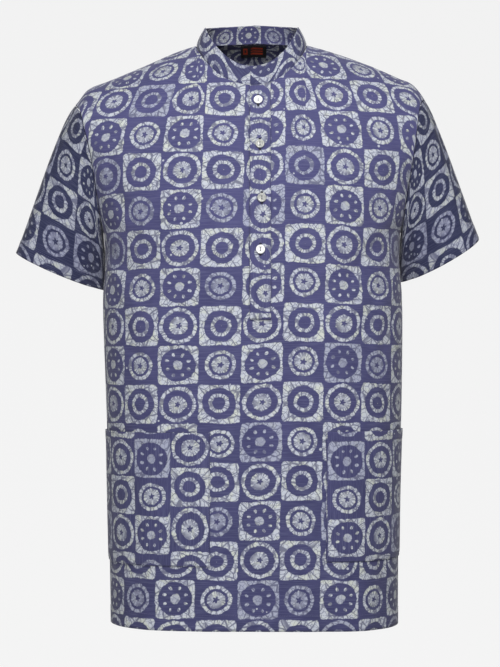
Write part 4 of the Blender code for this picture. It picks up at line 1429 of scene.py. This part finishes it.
# %% Sew along paths
def sew(name, paths, thread, pitch, across, deep, along):
    """One mesh of stitches along every path, a path being an array of points."""
    points, edges = [], []
    for path in paths:
        first = len(points)
        points += [tuple(point) for point in path]
        edges += [(first + i, first + i + 1) for i in range(len(path) - 1)]
    mesh = bpy.data.meshes.new(name)
    mesh.from_pydata(points, edges, [])
    guide = add_object(name + " guide", mesh)
    sewing = guide.modifiers.new("stitches", "NODES")
    sewing.node_group = STITCHES
    values = {"Pitch": pitch, "Across": across, "Deep": deep, "Along": along, "Thread": thread}
    for item in STITCHES.interface.items_tree:
        if item.in_out == "INPUT" and item.name in values:
            sewing[item.identifier] = values[item.name]
    bpy.context.view_layer.update()
    made = bpy.data.meshes.new_from_object(guide.evaluated_get(bpy.context.evaluated_depsgraph_get()))
    bpy.data.objects.remove(guide, do_unlink=True)
    made.name = name
    if not made.materials:
        made.materials.append(thread)
    print(name, len(made.polygons), "faces")
    return add_object(name, made)


def thread_finish(name, colour, sheen):
    """Spun thread: a fine twist in the bump and a soft sheen."""
    material, tree, shader = new_finish(name)
    place = tree.nodes.new("ShaderNodeTexCoord").outputs["Object"]
    shade = soft_step(tree, noise(tree, place, 900.0), 0.5, 0.25)
    plug(tree, shader.inputs["Base Color"], blend(tree, shade, colour, tuple(c * 0.6 for c in colour[:3]) + (1,)))
    shader.inputs["Roughness"].default_value = 0.65
    shader.inputs["Sheen Weight"].default_value = sheen
    raise_surface(tree, shader, noise(tree, place, 2400.0), 0.4, 0.0001)
    return material


blue_thread = thread_finish("blue_thread", (0.075, 0.072, 0.19, 1), 0.2)
navy_thread_and_shadow = thread_finish("navy_thread_and_shadow", (0.010, 0.010, 0.028, 1), 0.1)

# %% [markdown]
# The seams that show are the edge of the placket and its box, the inner and lower edges and the hem of
# each pocket, the body hem, the cuffs, and both edges of the band.

# %% Paths on the cloth
STITCH_RISE = 0.00008
STITCH = dict(pitch=0.0029, across=0.00042, deep=0.00042, along=0.0023)


def path_on_front(x, z, lift):
    r = level(z)
    upper = z > UNDERARM_Z
    if np.any(upper):
        r = np.where(upper, row_at(FRONT, x, z, 0.98), r)
    return form(FRONT, q_at(FRONT, x, r), r, lift + STITCH_RISE)


def line(start, end, steps=80):
    return mix(start, end, np.linspace(0, 1, steps))


PLACKET_SEAM = 0.0014     # how far in from its edges the strip is sewn
PLACKET_FOOT_SEAM = PLACKET_Z + 0.0013
PLACKET_SEWN_TOP = -0.072

placket_paths = []
z = line(PLACKET_FOOT_SEAM, PLACKET_SEWN_TOP, 160)
x = np.full(z.shape, PLACKET_X[2] - PLACKET_SEAM)
placket_paths.append(path_on_front(x, z, placket_lift(x, z)))
z = line(PLACKET_BOX_Z, PLACKET_SEWN_TOP, 160)
x = np.full(z.shape, PLACKET_X[0] + PLACKET_SEAM)
placket_paths.append(path_on_front(x, z, placket_lift(x, z)))
for z_sewn in (PLACKET_FOOT_SEAM, PLACKET_BOX_Z):
    x = line(PLACKET_X[0] + 0.0012, PLACKET_X[2] - PLACKET_SEAM, 12)
    z = np.full(x.shape, z_sewn)
    placket_paths.append(path_on_front(x, z, placket_lift(x, z)))
placket_sewing = sew("placket_sewing", placket_paths, blue_thread, **STITCH)

# %% Pocket sewing
POCKET_SEAM = 0.0016


def pocket_path(right, q, r):
    """Points on a pocket's surface."""
    inner = POCKETS[right][0]
    fine = np.linspace(0, 1, 200)[None, :]
    q_inner = q_at(FRONT, inner, r)
    side = 1.0 if right else -1.0
    whole = smooth_form(FRONT, mix(q_inner[:, None], side, fine), r[:, None]) * np.array([1, 1, 0])
    runs = run_along(whole, 1)
    share = (q - q_inner) / (side - q_inner)
    from_inner = np.array([np.interp(s, fine[0], run) for s, run in zip(share, runs)])
    base = smooth_form(FRONT, q, r)
    lift = pocket_lift(right, from_inner, runs[:, -1] - from_inner, base[..., 2])
    return form(FRONT, q, r, lift + STITCH_RISE)


pocket_sewing = {}
for right, name in ((False, "pocket_left"), (True, "pocket_right")):
    inner, bottom, top = POCKETS[right]
    side = 1.0 if right else -1.0
    paths = []
    z = line(bottom + POCKET_SEAM, top - 0.001)
    r = level(z)
    paths.append(pocket_path(right, q_at(FRONT, inner + side * POCKET_SEAM, r), r))
    for height in (bottom + POCKET_SEAM, top - POCKET_HEM):
        r = np.full(120, level(height))
        start = q_at(FRONT, inner + side * POCKET_SEAM, r)
        q = mix(start, side * 0.992, np.linspace(0, 1, 120))
        paths.append(pocket_path(right, q, r))
    pocket_sewing[right] = sew(f"{name}_sewing", paths, blue_thread, **STITCH)

# %% Hem, cuff and band sewing
hem_sewing = {}
for face, name in ((FRONT, "front"), (BACK, "back")):
    q = line(-0.997, 0.997, 400)
    r = np.full(q.shape, level(HEM_Z + HEM_FOLD))
    path = form(face, q, r, seam_roll(q, r) + STITCH_RISE)
    hem_sewing[face] = sew(f"{name}_hem_sewing", [path], blue_thread, **STITCH)

cuff_sewing = {}
for right, name in ((False, "sleeve_left"), (True, "sleeve_right")):
    turn = np.linspace(0, 360, 200)
    v = np.full(turn.shape, SLEEVE_HEM)
    path = sleeve_point(right, turn, v, sleeve_roll(v) + STITCH_RISE)
    cuff_sewing[right] = sew(f"{name}_cuff_sewing", [path], blue_thread, **STITCH)

paths = []
for height in (0.10, 0.90):
    turns = band_turn[2:-2]
    v = np.full(turns.shape, height)
    paths.append(band_point(foot[2:-2], turns, v, band_puff(v) + STITCH_RISE))
band_sewing = sew("collar_band_sewing", paths, blue_thread, **STITCH)

# %% [markdown]
# A buttonhole is two columns of satin bars along a slit, closed at each end with a bar tack. The
# slit itself is a sliver of shadow, made as a thin dark lens of cloth between the columns.

# %% Buttonholes
BUTTONHOLE_LENGTH = 0.0150
BUTTONHOLE_COLUMN = 0.00095
satin_paths, tack_paths, slit_shadow_paths = [], [], []
for x, z, finish in BUTTONS:
    z_line = line(z - BUTTONHOLE_LENGTH / 2, z + BUTTONHOLE_LENGTH / 2, 20)
    for offset in (-BUTTONHOLE_COLUMN, BUTTONHOLE_COLUMN):
        x_line = np.full(z_line.shape, x + offset)
        satin_paths.append(path_on_front(x_line, z_line, placket_lift(x_line, z_line)))
    for end in (z_line[0], z_line[-1]):
        z_tack = line(end - 0.0004, end + 0.0004, 4)
        x_tack = np.full(z_tack.shape, x)
        tack_paths.append(path_on_front(x_tack, z_tack, placket_lift(x_tack, z_tack)))
    x_line = np.full(z_line.shape, x)
    slit_shadow_paths.append(path_on_front(x_line, z_line, placket_lift(x_line, z_line)))
satin = sew("buttonhole_satin", satin_paths, navy_thread_and_shadow, 0.00034, 0.0013, 0.00036, 0.00036)
tacks = sew("buttonhole_tacks", tack_paths, navy_thread_and_shadow, 0.00030, 0.0032, 0.00040, 0.00040)
# Painted shadow: a thin line of dark navy beads stands for the shade down each slit.
slit_shadows = sew("buttonhole_slit_shadows", slit_shadow_paths, navy_thread_and_shadow, 0.00050, 0.0007, 0.00030, 0.0008)

# %% Thread in the buttons
button_threads = []
for number, (x, z, finish) in enumerate(BUTTONS, start=1):
    up = np.linspace(-BUTTON_HOLE_SPACING / 2, BUTTON_HOLE_SPACING / 2, 12)
    arch = BUTTON_THICKNESS - BUTTON_DISH - 0.0006 + 0.0010 * np.cos(up / BUTTON_HOLE_SPACING * np.pi) ** 0.6
    matrix = seat(x, z, BUTTON_SEAT)
    paths = [[matrix @ Vector((offset, y, height)) for y, height in zip(up, arch)] for offset in (-0.0002, 0.0002)]
    button_threads.append(sew(f"button_{number}_thread", paths, blue_thread, 0.0003, 0.00035, 0.00035, 0.0006))

# %% [markdown]
# ## Who rides on what
#
# Cloth has no joints, so every piece rides on the one body. Each sheet also says the width and
# length of its cut in metres, without turnings. They were measured along the finished cloth, only
# the band's length was worked out, from its area.

SHEETS = (                # piece, nodes it replaces, width and length of the cut, its area, held, rests on, sewing
    (body_cloth[FRONT], ("front",), (0.514, 0.789), 0.361, "hung", ["collar_band_cloth"], [hem_sewing[FRONT]]),
    (body_cloth[BACK], ("back",), (0.510, 0.806), 0.380, "hung", ["collar_band_cloth"], [hem_sewing[BACK]]),
    (sleeves[False], ("sleeve_left",), (0.384, 0.216), 0.051, "hung", ["front_cloth", "back_cloth"],
     [cuff_sewing[False]]),
    (sleeves[True], ("sleeve_right",), (0.373, 0.216), 0.045, "hung", ["front_cloth", "back_cloth"],
     [cuff_sewing[True]]),
    (band, ("collar_band",), (0.466, 0.0266), None, "stretched", ["front_cloth", "back_cloth"], [band_sewing]),
    (placket, ("placket_upper",), (0.027, 0.306), None, "laid", ["front_cloth"], [placket_sewing, satin, tacks, slit_shadows]),
    (stand, ("placket_under",), (0.022, 0.292), None, "laid", ["front_cloth"], []),
    (pocket_cloth[False], ("pocket_left",), (0.206, 0.168), None, "laid", ["front_cloth"], [pocket_sewing[False]]),
    (pocket_cloth[True], ("pocket_right",), (0.169, 0.164), None, "laid", ["front_cloth"], [pocket_sewing[True]]),
)
for piece, nodes, flat, area, held, rests_on, sewing in SHEETS:
    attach(piece, "root")
    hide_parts(*nodes)
    for thread in sewing:
        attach(thread, "root")

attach(label, "root")
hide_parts("neck_label")
for number, (piece, thread) in enumerate(zip(button_pieces, button_threads), start=1):
    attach(piece, "root")
    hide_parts(f"button_{number}")
    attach(thread, "root")

# %% [markdown]
# ## Floor, backdrop and light
#
# One pale sheet serves as floor and wall, with a round bend between them, so that no line shows
# behind the garment. It glows, more behind than in front, which keeps it an even pale grey. A
# large soft light in front and above shapes the cloth, a weaker one below fills its shade, and a
# third lights the back. The sides of the garment fall off into shade.

# %% Backdrop
BACKDROP_GLOW = (1.8, 0.8, 0.38, 0.835)  # distance back and softness of the change, glow in front and behind
BACKDROP_SIZES = (-1.5, 3.4, 1.2, 2.6)   # floor height, wall distance, radius of the bend, half width


def backdrop():
    mesh = bpy.data.meshes.new("backdrop")
    floor_z, wall_y, bend, half = BACKDROP_SIZES
    profile = [(-2.0, floor_z)]
    for angle in np.linspace(0, np.pi / 2, 13):
        profile.append((wall_y - bend + bend * np.sin(angle), floor_z + bend - bend * np.cos(angle)))
    profile.append((wall_y, 4.0))
    verts = [(x, y, z) for y, z in profile for x in (-half, half)]
    faces = [(2 * i, 2 * i + 1, 2 * i + 3, 2 * i + 2) for i in range(len(profile) - 1)]
    mesh.from_pydata(verts, [], faces)
    mesh.shade_smooth()
    piece = add_object("backdrop", mesh)
    material, tree, shader = new_finish("backdrop_paper")
    shader.inputs["Base Color"].default_value = (0.10, 0.10, 0.10, 1)
    shader.inputs["Roughness"].default_value = 1.0
    shader.inputs["Specular IOR Level"].default_value = 0.0
    shader.inputs["Emission Color"].default_value = (1, 1, 1, 1)
    place = tree.nodes.new("ShaderNodeTexCoord").outputs["Object"]
    _, depth = split_xyz(tree, place)
    plug(tree, shader.inputs["Emission Strength"], soft_step(tree, depth, *BACKDROP_GLOW))
    mesh.materials.append(material)
    return piece


backdrop()


# %% Lights
def soft_light(name, place, aim, size, power):
    data = bpy.data.lights.new(name, "AREA")
    data.shape = "DISK"
    data.size = size
    data.energy = power
    lamp = bpy.data.objects.new(name, data)
    lamp.location = place
    lamp.rotation_euler = (Vector(aim) - Vector(place)).to_track_quat("-Z", "Y").to_euler()
    bpy.context.scene.collection.objects.link(lamp)
    return lamp


soft_light("key", (0.25, -2.0, 1.35), (0, 0, -0.30), 1.2, 66)
soft_light("fill", (-0.5, -2.7, -0.7), (0, 0, -0.45), 1.8, 35)
soft_light("back_light", (0.0, 2.4, 1.4), (0, 0, -0.3), 1.6, 30)
bpy.context.scene.view_settings.view_transform = "Standard"
world = bpy.data.worlds.new("room")
world.use_nodes = True
world.node_tree.nodes["Background"].inputs["Color"].default_value = (0.86, 0.86, 0.86, 1)
world.node_tree.nodes["Background"].inputs["Strength"].default_value = 0.20
bpy.context.scene.world = world
